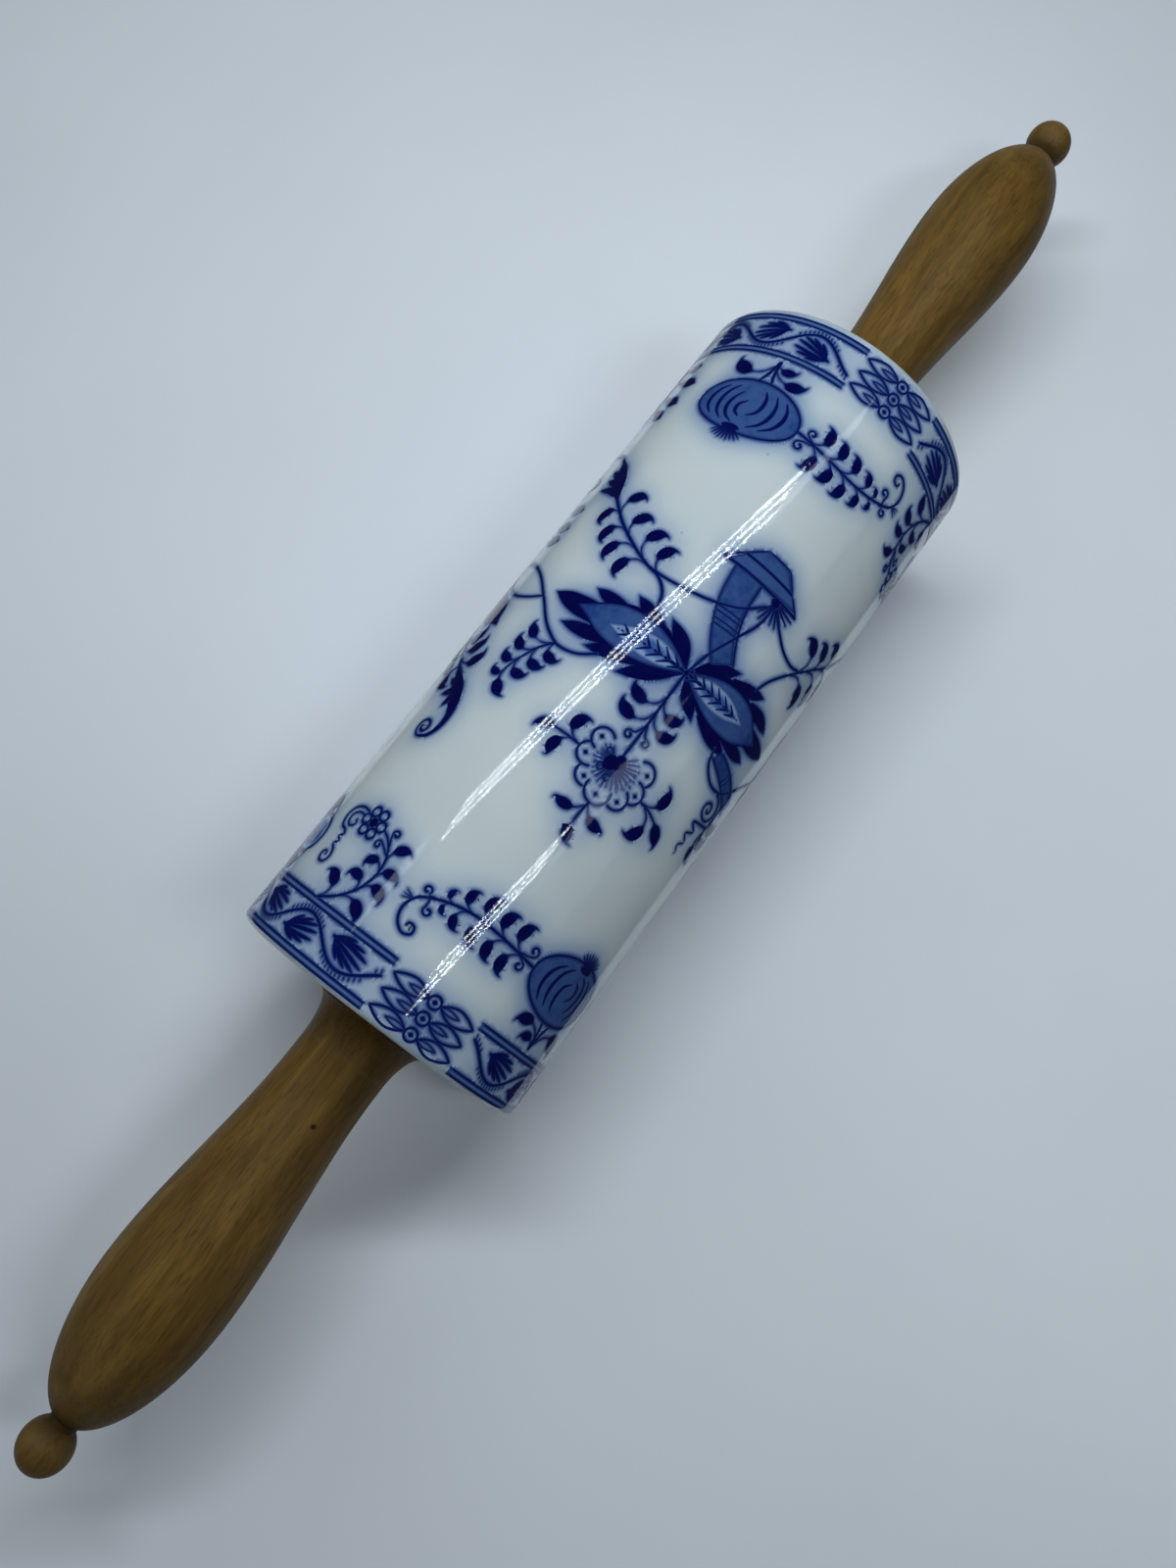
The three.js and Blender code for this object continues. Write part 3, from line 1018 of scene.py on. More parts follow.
def flowerSpray():
    stem = [(-85.2, 21.9), (-82.2, 17), (-77.8, 13.5), (-72.8, 12.4), (-68.6, 13.6), (-66, 16), (-64.9, 18.2)]
    leaves = [
        (-79.3, 21.4, 1.4), (-76, 16.7, 1.2), (-71.6, 15.9, 1.1), (-82.2, 11.1, 1.4), (-76.6, 9.4, 1.3),
        (-72, 9.6, 1.2), (-66.4, 11, 1.2),
    ]
    strokes = sprig(stem, leaves, 0.44, 0.34)
    strokes += curl(-68.2, 17.2, 1.1, -50, 1.1, root=(-69.3, 13.4))
    strokes += curl(-64.2, 14.7, 1.05, 130, -1.1, root=(-67.6, 14.2))
    x, v = -64.8, 22.3
    petals, petalsAt, petal = 6, 2.8, 1.25
    for i in range(petals):
        a = math.radians(30 + 360 * i / petals)
        strokes += ring(x + petalsAt * math.cos(a), v + petalsAt * math.sin(a), petal, petal, 0.4)
    strokes += disc(x, v, 1.35, 1.35)
    # the scroll over the flower, and its wavy tail
    strokes += line([
        (-63.2, 25.6), (-62.9, 28.6), (-63.9, 31.2), (-66.4, 32.4), (-68.9, 31.2), (-69.7, 28.9),
        (-70.6, 28.3), (-71.4, 29.4), (-72.4, 28.3), (-73.4, 29.3), (-74.8, 27.9), (-76.6, 27.3),
        (-78.3, 28.4), (-78.1, 30.2), (-76.5, 30.7), (-75.8, 29.5), (-76.6, 28.9),
    ], 0.36)
    strokes += line([
        (-64.5, 26), (-64.4, 28.7), (-65.6, 30.4), (-67.4, 30.2), (-68.2, 28.6), (-67.2, 27.3), (-66.1, 28),
    ], 0.32)
    return strokes


# the middle ornament: two serrated blades, an aster, and a jointed cane with a fan
bladeStroke = {
    "rim": 1.2,  # dark edge round the wash
    "bellies": {"deep": 0.45, "wash": 0.5, "pale": 0.45},  # where each is widest, as a part of its length
    "paleFrom": 0.03,  # part of the way from the node to the tip of the pale heart
    "ribTo": 0.88,
    "ribWidths": (0.6, 0.25),
    "veinSteps": 7,  # along the rib, with a pair of veins between each two
    "veinReach": 0.74,  # part of the heart's half width
    "veinWidths": (0.5, 0.24),
}


def serratedBlade(node, washTip, washHalf, paleTip, paleHalf, teeth):
    b = bladeStroke
    strokes = lens(node, washTip, washHalf + b["rim"], "deep", b["bellies"]["deep"])
    for root, middle, tip, rootWidth, width in teeth:
        strokes += flame(root, middle, tip, rootWidth, width)
    strokes += lens(node, washTip, washHalf, "wash", b["bellies"]["wash"])
    paleFoot = (node[0], node[1] + (paleTip[1] - node[1]) * b["paleFrom"])
    strokes += lens(paleFoot, paleTip, paleHalf, "pale", b["bellies"]["pale"])
    ribTip = between(node, paleTip, b["ribTo"])
    strokes += line([node, ribTip], *b["ribWidths"])
    for i in range(1, b["veinSteps"]):
        t = i / b["veinSteps"]
        x, v = between(node, ribTip, t)
        reach = paleHalf * b["veinReach"] * math.sin(math.pi * min(1, 0.15 + 0.72 * t))
        for side in (1, -1):
            vein = [(x, v - 0.6), (x + side * reach * 0.55, v + 0.8), (x + side * reach, v + 1.9)]
            strokes += line(vein, *b["veinWidths"])
    return strokes


def blades():
    node = (3.8, -15.3)
    upper = serratedBlade(node, (2.9, 15.2), 5.4, (2.2, 6.2), 3.3, [
        ((3.4, -14.8), (-2.4, -7.6), (-6.6, -1.9), 0.5, 2.0),
        ((-1.0, -5), (-3.4, 2), (-5.3, 7.6), 1.6, 2.0),
        ((-0.8, 3), (-2.3, 10), (-2.8, 16.4), 1.8, 1.9),
        ((2.6, 8), (2.8, 15.4), (3.7, 23.3), 2.8, 2.7),
        ((6.4, 3), (7.6, 9), (8.5, 13.9), 1.8, 1.8),
        ((7.4, -6), (9.8, -0.4), (11.9, 4.2), 1.4, 1.9),
        ((4.2, -14.8), (8.8, -10), (11.9, -5.2), 0.5, 2.0),
    ])
    lower = serratedBlade(node, (4.6, -44.4), 5.6, (4.8, -36.2), 3.2, [
        ((3.4, -15.8), (-0.6, -19.4), (-4.1, -23.4), 0.5, 2.0),
        ((-0.6, -24), (-3, -30.5), (-3.9, -37.4), 1.8, 2.0),
        ((0, -33), (-0.8, -39), (-0.7, -44.6), 1.8, 1.8),
        ((4.6, -38), (4.6, -44.6), (5.1, -52.2), 2.6, 2.5),
        ((9.2, -34), (9.8, -40.4), (8.9, -45.4), 1.7, 1.7),
        ((9.6, -26), (11.8, -31.8), (13.8, -36.8), 1.6, 1.8),
        ((4.2, -15.8), (9, -20.6), (13.2, -26.6), 0.5, 2.2),
    ])
    return upper + lower + disc(*node, 0.9, 0.7)


def aster():
    heart = Vector((-23.4, -14.6))
    # (x, v, radius) of each petal, and which petals lie in front of it
    petals = (
        (-20.6, -9.4, 2.7), (-25.2, -8.7, 2.75), (-29.2, -11.3, 2.75), (-30.6, -15.5, 3.2), (-29, -20, 2.8),
        (-25.6, -22.4, 2.8), (-20.8, -21.9, 2.9),
    )
    inFront = ((), (0,), (1, 3), (), (3,), (4,), (5,))
    openTurn, edgeSteps = 112, 24  # each petal's edge runs this many degrees to both sides of its tip
    strokes = []
    for i, (x, v, radius) in enumerate(petals):
        away = Vector((x, v)) - heart
        a = math.atan2(away.y, away.x)
        turns = [a + math.radians(2 * openTurn * k / edgeSteps - openTurn) for k in range(edgeSteps + 1)]
        edge = [Vector((x + radius * math.cos(b), v + radius * math.sin(b))) for b in turns]
        for front in inFront[i]:
            fx, fv, fRadius = petals[front]
            edge = [p for p in edge if (p - Vector((fx, fv))).length > fRadius]
        strokes += line(edge, 0.34)
        strokes += disc(x + away.x * 0.12, v + away.y * 0.12, 0.55, 0.55)
        for turn in (-26, -13, 0, 13, 26):
            spoke = Vector((math.cos(a + math.radians(turn)), math.sin(a + math.radians(turn))))
            spokeEnd = away.length - 1.3 - abs(turn) * 0.03
            strokes += line([heart + spoke * 1.4, heart + spoke * spokeEnd], 0.36, 0.12)
    for x, v, across, along in ((-23.7, -13.9, 2.1, 1.8), (-22.6, -15.7, 2.2, 1.6), (-24.7, -13.3, 1.2, 1.1)):
        strokes += disc(x, v, across, along)
    for x, v in ((-25.8, -12.4), (-21.7, -12.2), (-27, -15.2)):
        strokes += ring(x, v, 0.75, 0.75, 0.3)
    strokes += sprig(
        [(3.6, -15.2), (-6, -15.3), (-14, -15.4), (-22.4, -15.3)],
        [(-7.4, -9.5, 1.45), (-12, -9.4, 1.45), (-7, -19.7, 1.35), (-11.2, -20.5, 1.35)], 0.44, 0.4, lag=0.75,
    )
    strokes += curl(-16, -13.2, 1.15, -20, 1.1, root=(-12, -15.4))
    strokes += curl(-15.4, -17.6, 1.05, 20, -1.1, root=(-11.4, -15.4))
    strokes += sprig(
        [(-33.9, -15.4), (-37.6, -15.1), (-40.4, -15.2)],
        [(-37.5, -11, 1.25, -2), (-37.2, -19.4, 1.3, -2), (-42.2, -15.5, 1.3)], 0.4, 0.3,
    )
    strokes += sprig(
        [(-24.9, -5.8), (-24.8, -2), (-24.9, 1.4)],
        [(-28.3, -1, 1.35, -2), (-20.7, -2.6, 1.4), (-25.2, 3.3, 1.25)], 0.4, 0.3,
    )
    strokes += sprig(
        [(-25.9, -25.3), (-26.2, -28.8), (-27, -31.4)],
        [(-32.2, -29.2, 1.5), (-28.9, -34.3, 1.5), (-21.8, -30.7, 1.5)], 0.4, 0.3,
    )
    return strokes


def cane():
    strokes = [("wash", [
        (11, -21, 2.9), (14.6, -18.1, 3.1), (19, -15.6, 3.4), (24, -14.1, 3.7), (28, -13.5, 3.9),
        (32.2, -13.2, 4.0),
    ])]
    strokes += line([(9.6, -18.4), (12.6, -15.8), (16.2, -13.5), (20.6, -11.4), (25, -10.2), (32, -9.2)], 0.3)
    strokes += line([(12.6, -23.6), (15.6, -21.6), (18.5, -20), (23, -18.3), (27, -17.5), (32, -17.2)], 0.38)
    joints = ((17.4, -20.5, -12.9), (18.6, -20, -12.3), (20.2, -19.3, -11.6), (21.4, -18.9, -11.1))
    for x, low, high in joints:
        strokes += line([(x, high), (x + 0.5, (low + high) / 2), (x + 0.8, low)], 0.34)
    # the cut end of the cane
    strokes.append(("wash", [(32.5, -17.3, 11.5), (35.8, -17.05, 7.7), (39.8, -17.2, 3.5)]))
    strokes += line([(32, -5.2), (32.3, -12), (32.4, -20), (32.7, -29.4)], 0.5)
    strokes += line([(35.7, -9.2), (35.9, -17), (36, -24.8)], 0.5)
    corners = [(32, -5.2), (35.8, -9.3), (39.8, -13.7), (39.9, -20.7), (36, -24.8), (32.7, -29.4)]
    for first, last in zip(corners, corners[1:]):
        strokes += line([first, last], 0.36)
    # rays of the fan beside it, as (angle, length)
    fanX, fanV = 31.6, -22.7
    rays = (
        (152, 5.4), (166, 6.2), (181, 5.6), (200, 5.4), (216, 6), (233, 5.6), (250, 6), (266, 6.4),
        (281, 6.2),
    )
    for angle, length in rays:
        a = math.radians(angle)
        strokes += line([(fanX + r * math.cos(a), fanV + r * math.sin(a)) for r in (0.6, length)], 0.46, 0.34)
    strokes += disc(31.5, -22.5, 1.3, 1.4)
    # stems that meet at the fan
    strokes += line([(3.8, -15.3), (10, -16.6), (18.6, -19.9), (25, -22.4), (31, -22.8)], 0.42)
    strokes += line([(19.2, 7), (18.9, 2.4), (19.3, -2), (21.2, -10), (24.8, -16.8), (29.4, -21.4)], 0.42)
    strokes += line([(30.6, -23.4), (27.6, -27.6), (25, -33), (24.7, -37.6), (25.8, -41)], 0.42)
    return strokes


def upperStems():
    strokes = sprig(
        [(11.6, -1), (15.6, 0.5), (18.3, 3.6), (19.2, 7), (20.8, 10.8), (23.5, 15.7), (27.2, 21.2),
         (30.6, 25.2), (33.6, 28.6)],
        [(16.1, 13.2, 1.5), (19, 18.5, 1.5), (22.8, 22.8, 1.5), (27.5, 27.4, 1.45), (24.2, 5.6, 1.4),
         (26.9, 10.3, 1.45), (29.4, 16.3, 1.45), (34.4, 21.8, 1.45)],
        0.44, 0.5, lag=0.8,
    )
    # the bud that ends the right stem, and the stem that goes on over the barrel
    strokes += swell([(31.6, 26.4), (35, 29.6), (38.4, 32), (42, 34.4), (46, 37.8)], 2.2)
    for root, middle, tip in (
        ((34, 29), (35, 32.4), (35.2, 37.4)), ((36.4, 30.6), (37.6, 33.6), (38.4, 37)),
        ((39, 32.4), (40.2, 34.8), (41.6, 37.8)),
    ):
        strokes += flame(root, middle, tip, 1.3, 1.25, "line")
    strokes += line([(44.8, 36.8), (47.2, 40.4), (48.8, 46), (48.6, 52), (45, 57)], 0.46, 0.36)
    # left stem, its side sprig and its fork
    strokes += line([
        (-5.2, 3.2), (-8.1, 8), (-8.4, 13), (-6.4, 17), (1.4, 26), (6.8, 33), (9.8, 39.4), (11.4, 47),
        (10.4, 53),
    ], 0.42)
    strokes += line([(1.4, 26), (0.1, 31), (0.1, 37.4), (2.2, 43), (6, 49)], 0.4)
    strokes += sprig(
        [(-8.2, 13.4), (-10.5, 16), (-14.6, 18.6), (-19, 20.4), (-21.6, 20.6)],
        [(-8, 21, 1.3), (-12.2, 22.1, 1.3), (-16.6, 22.7, 1.2), (-20.9, 22.6, 1.0), (-19.2, 16.7, 1.25),
         (-15.5, 14.6, 1.25), (-12.2, 12.4, 1.25), (-24.2, 18.9, 1.4)],
        0.42, 0.3, lag=0.9,
    )
    return strokes


def scrollLeaf():
    strokes = [("line", [
        (-42.9, 30.4, 0.42), (-42.2, 27.8, 0.6), (-39.4, 25.9, 0.8), (-35.6, 25.7, 1.1), (-31.6, 27.6, 1.9),
        (-28.4, 30.2, 2.2), (-25.2, 33.4, 1.3), (-22, 37.2, 0.5), (-17.6, 42.2, 0.42), (-13, 46.4, 0.36),
    ])]
    strokes += curl(-40.3, 30.6, 2.7, 175, -1.3, 0.4, (-42.7, 28.8))
    for root, middle, tip in (
        ((-29.4, 28.6), (-31.2, 29.6), (-34.2, 30.6)), ((-28.8, 29.6), (-29.8, 31.6), (-31.2, 34.4)),
        ((-27.2, 31), (-27, 32.8), (-26.6, 35.2)),
    ):
        strokes += flame(root, middle, tip, 1.4, 1.3, "line")
    for x, v, base, heading in (
        (-27.8, 38.4, (-22.6, 36.4), 50), (-23.4, 42.6, (-18.8, 40.8), 50), (-18.6, 47, (-14.6, 44.8), 45),
        (-20, 31.8, (-20.4, 38.8), 230), (-16.4, 35.4, (-16.8, 42.8), 230), (-13.6, 39.4, (-13.6, 45.8), 230),
    ):
        strokes += commaLeaf(base, (x, v), math.radians(heading), 1.6)
    return strokes


def lowerStems():
    strokes = sprig(
        [(13, -32.6), (17, -34.2), (21, -37), (26, -41.6), (31, -47), (36, -53.4), (41, -58.8), (44, -63)],
        [(22.4, -47, 1.6), (26.2, -52.3, 1.55), (30.4, -57.4, 1.5), (35.4, -45.7, 1.5), (39.4, -50.8, 1.5)],
        0.42, 0.34, lag=0.85,
    )
    strokes += commaLeaf((25.8, -41), (33, -40.2), math.radians(-60), 1.55)
    # the low stalk behind the lower blade, with its loop, squiggle and little spray
    strokes += [("wash", [(-4.6, -35.2, 1.5), (-6, -41, 1.9), (-8.2, -48, 1.9), (-10, -53, 1.6)])]
    strokes += line([(-5.8, -34.2), (-7.9, -41), (-10.2, -48.4), (-11.8, -53.4)], 0.36)
    strokes += line([(-3.2, -36.6), (-4.2, -41.6), (-6.2, -48.4), (-8.4, -53.4)], 0.36)
    for drop in (0, 1.5):
        strokes += line([(-8.2 - drop * 0.4, -41.8 - drop), (-6.2, -43 - drop), (-4.2, -43 - drop)], 0.32)
    strokes += line([
        (-3.6, -33), (-7.6, -34.6), (-10.3, -39), (-9.8, -44.6), (-6, -50), (-1, -56.6), (2, -62),
    ], 0.4)
    # a tendril that runs out in smaller and smaller waves, and a spiral from the loop
    tendril = [(-17.5, -50.3), (-18.2, -47), (-18.9, -44)]
    waves = 28
    for i in range(waves + 1):
        t = i / waves
        tendril.append((-19.4 - 8.6 * t, -44.3 + 0.7 * t + (1.5 - 1.1 * t) * math.cos(5 * math.pi * t)))
    strokes += line(tendril, 0.38, 0.2)
    strokes += line([
        (-10.3, -44), (-10.7, -46.6), (-12.4, -48.8), (-14.7, -49.2), (-16.7, -47.6), (-17, -45),
        (-15.8, -43), (-14, -42.9), (-13, -44.4), (-13.5, -46), (-14.9, -46.2), (-15.3, -45), (-14.6, -44.5),
    ], 0.4, 0.34)
    strokes += sprig(
        [(-10.4, -50), (-14, -50.6), (-18, -50.2), (-22, -49.6)],
        [(-21, -53.6, 1.5), (-16.6, -54, 1.4), (-24.8, -51, 1.4)], 0.4, 0.3,
    )
    return strokes


# ornaments over the top edge, which the photograph shows only in part: a peach at each side and a peony
def peach():
    x, v = 73.4, 53.4
    strokes = disc(x, v, 5.4, 5.8, "pale") + ring(x, v, 5.4, 5.8, 0.42)
    strokes += curl(x, v - 0.4, 3.6, 90, 1.5, 0.36)
    for side in (1, -1):
        root, leafAt = (x + side * 5, v + 3), (x + side * 8.4, v - 2.6)
        strokes += commaLeaf(root, leafAt, math.radians(90 - side * 60), 2.1)
    strokes += line([(73.4, 47.6), (70.4, 45.8), (66.4, 45.8), (63.6, 48)], 0.4, 0.3)
    strokes += line([(73.4, 47.6), (76, 45.8), (80, 46), (83, 48.4)], 0.4, 0.3)
    for base, tip in (
        ((66.4, 45.8), (61.2, 37.2)), ((70.4, 45.8), (66.2, 34.8)), ((76, 45.8), (73.4, 33.9)),
        ((80, 46), (80.4, 38)),
    ):
        strokes += dropLeaf(base, tip, 1.7)
    return strokes


def peony():
    x, v = 1.6, 56
    strokes = lens((2.6, 54), (-9.4, 34.9), 4.2, "deep", 0.6)
    strokes += lens((-4, 60), (-16, 48), 3.4, "deep", 0.55) + lens((6, 60), (18, 63), 3, "deep", 0.5)
    petals, spokes = 9, 14
    for i in range(petals):
        a = math.radians(90 + 360 * i / petals)
        px, pv = x + 6.6 * math.cos(a), v + 5.6 * math.sin(a)
        strokes += disc(px, pv, 3.4, 3.1, "wash") + ring(px, pv, 3.4, 3.1, 0.38)
    strokes += disc(x, v, 6, 5.2, "pale") + ring(x, v, 5.8, 5, 0.38)
    for i in range(spokes):
        a = math.radians(360 * i / spokes)
        spoke = Vector((math.cos(a), 0.9 * math.sin(a)))
        strokes += line([(x + r * spoke.x, v + r * spoke.y) for r in (1.8, 4.6)], 0.32, 0.12)
    strokes += disc(x, v, 1.9, 1.7)
    strokes += sprig(
        [(10.4, 53), (16, 51), (22, 50.2), (28, 50.4), (33, 52)],
        [(20, 56, 1.5), (26, 56.6, 1.5), (36, 53, 1.5)], 0.4, 0.3,
    )
    for base, tip in (((20, 50.4), (18.2, 38.4)), ((25, 50.2), (22.2, 38.2)), ((30, 51), (28.6, 38.2))):
        strokes += dropLeaf(base, tip, 1.8)
    strokes += bladeOutline((42, 57), (38, 42.2), 2.3, 0.4)
    return strokes


def drawPattern():
    sides = borderBand() + onion() + hangingSpray() + flowerSpray() + peach()
    middle = lowerStems() + blades() + cane() + aster() + upperStems() + scrollLeaf() + peony()
    layers = {"deep": [], "wash": [], "pale": [], "line": []}
    slide = printed["slide"]
    for tone, points in sides + halfTurned(sides):
        layers[tone].append([(x + slide, v, width) for x, v, width in points])
    for tone, points in middle:
        layers[tone].append(points)
    return layers


# the faint blue that has bled through the glaze, as the share of ink round each place of one repeat
bleedCell = period / printed["bleedRows"]
bleedLeft = -barrelHalf / mm - printed["bleedMargin"]


def bleedField(strokes):
    rows = printed["bleedRows"]
    dabLength, dabWidth = printed["bleedDab"]
    cover = numpy.zeros((rows, math.ceil(-2 * bleedLeft / bleedCell)))
    for stroke in strokes:
        path = smoothPath(stroke, printed["step"])
        for (x0, v0, w0), (x1, v1, w1) in zip(path, path[1:]):
            length = max(math.dist((x0, v0), (x1, v1)), printed["leastGap"])
            width = max((w0 + w1) / 2, printed["thinnest"])
            steps, dabs = math.ceil(length / dabLength), math.ceil(width / dabWidth)
            along = (numpy.arange(steps)[:, None] + 0.5) / steps
            aside = ((numpy.arange(dabs)[None, :] + 0.5) / dabs * 2 - 1) * width / length
            x = x0 + (x1 - x0) * along + (v0 - v1) * aside
            v = v0 + (v1 - v0) * along + (x1 - x0) * aside
            cells = (numpy.floor(v / bleedCell).astype(int) % rows, ((x - bleedLeft) / bleedCell).astype(int))
            numpy.add.at(cover, cells, 2 * width * length / (steps * dabs * bleedCell**2))
    cover = numpy.minimum(cover, 1.0)
    wavesX, wavesV = numpy.meshgrid(
        numpy.fft.rfftfreq(cover.shape[1], bleedCell), numpy.fft.fftfreq(rows, bleedCell),
    )
    fade = numpy.exp(-2 * (math.pi * printed["bleedReach"]) ** 2 * (wavesX**2 + wavesV**2))
    return numpy.fft.irfft2(numpy.fft.rfft2(cover) * fade, cover.shape)


def bleedInto(mesh, field):
    # the field at each vertex of the outside, as an attribute for the glaze
    places = numpy.empty(len(mesh.vertices) * 3)
    mesh.vertices.foreach_get("co", places)
    x, y, z = places.reshape(-1, 3).T
    column = (x / mm - bleedLeft) / bleedCell - 0.5
    row = numpy.arctan2(y, z - axisHeight) * barrelRadius / mm / bleedCell - 0.5
    c, r = numpy.floor(column).astype(int), numpy.floor(row).astype(int)
    blue = numpy.zeros(len(x))
    for c1, partX in ((c, 1 - column + c), (c + 1, column - c)):
        for r1, partV in ((r, 1 - row + r), (r + 1, row - r)):
            blue += field[r1 % len(field), c1] * partX * partV
    # none on the end faces, and less and less over the rim
    rim = barrelBody["rimRound"]
    blue *= numpy.clip((numpy.hypot(y, z - axisHeight) - barrelRadius + rim) / rim, 0, 1)
    attribute = mesh.attributes.new("blue", "FLOAT", "POINT")
    attribute.data.foreach_set("value", blue.astype(numpy.float32))


# sweeps each flat stroke to its width, repeats the drawing round the barrel and wraps it on the glaze
def makeBrushTree():
    tree = bpy.data.node_groups.new("brushOnBarrel", "GeometryNodeTree")
    sockets = (
        ("Geometry", "NodeSocketGeometry", None), ("Barrel Radius", "NodeSocketFloat", 0.04),
        ("Axis Height", "NodeSocketFloat", 0.04), ("Half Length", "NodeSocketFloat", 0.1),
        ("Rim Round", "NodeSocketFloat", 0.002), ("Blunt", "NodeSocketFloat", 0.0001),
        ("Lift", "NodeSocketFloat", 0.00002), ("Crown", "NodeSocketFloat", 0.01),
        ("Crown Width", "NodeSocketFloat", 0.0015), ("Columns", "NodeSocketInt", 3),
        ("Repeats", "NodeSocketInt", 2), ("Map Start", "NodeSocketFloat", 0.0),
        ("Map Turns", "NodeSocketFloat", 1.0), ("Ink", "NodeSocketMaterial", None),
    )
    for name, kind, value in sockets:
        socket = tree.interface.new_socket(name, in_out="INPUT", socket_type=kind)
        if value is not None:
            socket.default_value = value
    tree.interface.new_socket("Geometry", in_out="OUTPUT", socket_type="NodeSocketGeometry")
    start, end = addNode(tree, "NodeGroupInput"), addNode(tree, "NodeGroupOutput")
    link = tree.links.new

    def maths(operation, first, second=None):
        node = addNode(tree, "ShaderNodeMath", operation=operation)
        for socket, value in zip(node.inputs, (first, second)):
            if isinstance(value, bpy.types.NodeSocket):
                link(value, socket)
            elif value is not None:
                socket.default_value = value
        return node.outputs[0]

    def stored(geometry, name, value):
        node = addNode(tree, "GeometryNodeStoreNamedAttribute", data_type="FLOAT", domain="POINT")
        setInputs(node, Name=name)
        link(geometry, node.inputs["Geometry"])
        link(value, node.inputs["Value"])
        return node.outputs["Geometry"]

    def kept(name):
        node = addNode(tree, "GeometryNodeInputNamedAttribute", data_type="FLOAT")
        return setInputs(node, Name=name).outputs["Attribute"]

    # a flat nib, one unit to each side of the stroke
    nib = addNode(tree, "GeometryNodeCurvePrimitiveLine")
    setInputs(nib, Start=(-1, 0, 0), End=(1, 0, 0))
    nibPoints = addNode(tree, "GeometryNodeResampleCurve")
    link(nib.outputs["Curve"], nibPoints.inputs["Curve"])
    link(start.outputs["Columns"], nibPoints.inputs["Count"])
    factor = addNode(tree, "GeometryNodeSplineParameter").outputs["Factor"]
    aside = maths("ABSOLUTE", maths("SUBTRACT", maths("MULTIPLY", factor, 2.0), 1.0))
    profile = stored(nibPoints.outputs["Curve"], "across", aside)

    # the half width of the stroke, and the way along it to its nearer end
    radius = addNode(tree, "GeometryNodeInputRadius").outputs[0]
    place = addNode(tree, "GeometryNodeSplineParameter")
    whole = addNode(tree, "GeometryNodeSplineLength")
    rest = maths("SUBTRACT", whole.outputs["Length"], place.outputs["Length"])
    strokes = stored(start.outputs["Geometry"], "halfWidth", radius)
    strokes = stored(strokes, "fromEnd", maths("MINIMUM", place.outputs["Length"], rest))
    upright = addNode(tree, "GeometryNodeSetCurveNormal", mode="Z_UP")
    sweep = addNode(tree, "GeometryNodeCurveToMesh")
    link(strokes, upright.inputs["Curve"])
    link(upright.outputs["Curve"], sweep.inputs["Curve"])
    link(profile, sweep.inputs["Profile Curve"])
    link(radius, sweep.inputs["Scale"])

    # how far in from the edge of its stroke a point lies
    fromSide = maths("MULTIPLY", maths("SUBTRACT", 1.0, kept("across")), kept("halfWidth"))
    inside = maths("MINIMUM", fromSide, maths("ADD", kept("fromEnd"), start.outputs["Blunt"]))

    # repeats round the barrel
    around = maths("MULTIPLY", start.outputs["Barrel Radius"], 2 * math.pi)
    gap = addNode(tree, "ShaderNodeCombineXYZ")
    link(maths("DIVIDE", around, start.outputs["Repeats"]), gap.inputs["Y"])
    places = addNode(tree, "GeometryNodeMeshLine")
    link(start.outputs["Repeats"], places.inputs["Count"])
    link(gap.outputs["Vector"], places.inputs["Offset"])
    copies = addNode(tree, "GeometryNodeInstanceOnPoints")
    link(places.outputs["Mesh"], copies.inputs["Points"])
    link(sweep.outputs["Mesh"], copies.inputs["Instance"])
    real = addNode(tree, "GeometryNodeRealizeInstances")
    link(copies.outputs["Instances"], real.inputs["Geometry"])
    ordered = addNode(tree, "GeometryNodeSortElements", domain="FACE")
    link(stored(real.outputs["Geometry"], "inside", inside), ordered.inputs["Geometry"])
    link(inside, ordered.inputs["Sort Weight"])

    # a flat map of the print, then the wrap
    flat = addNode(tree, "ShaderNodeSeparateXYZ")
    position = addNode(tree, "GeometryNodeInputPosition")
    link(position.outputs["Position"], flat.inputs["Vector"])
    mapPlace = addNode(tree, "ShaderNodeCombineXYZ")
    length = maths("MULTIPLY", start.outputs["Half Length"], 2.0)
    link(maths("ADD", maths("DIVIDE", flat.outputs["X"], length), 0.5), mapPlace.inputs["X"])
    turns = maths("SUBTRACT", maths("DIVIDE", flat.outputs["Y"], around), start.outputs["Map Start"])
    link(maths("DIVIDE", turns, start.outputs["Map Turns"]), mapPlace.inputs["Y"])
    mapped = addNode(tree, "GeometryNodeStoreNamedAttribute", data_type="FLOAT2", domain="CORNER")
    setInputs(mapped, Name="OFBake")
    link(ordered.outputs["Geometry"], mapped.inputs["Geometry"])
    link(mapPlace.outputs["Vector"], mapped.inputs["Value"])
    turn = maths("DIVIDE", flat.outputs["Y"], start.outputs["Barrel Radius"])
    rise = maths("MULTIPLY", maths("MINIMUM", inside, start.outputs["Crown Width"]), start.outputs["Crown"])
    outAt = maths("ADD", maths("ADD", start.outputs["Barrel Radius"], start.outputs["Lift"]), rise)
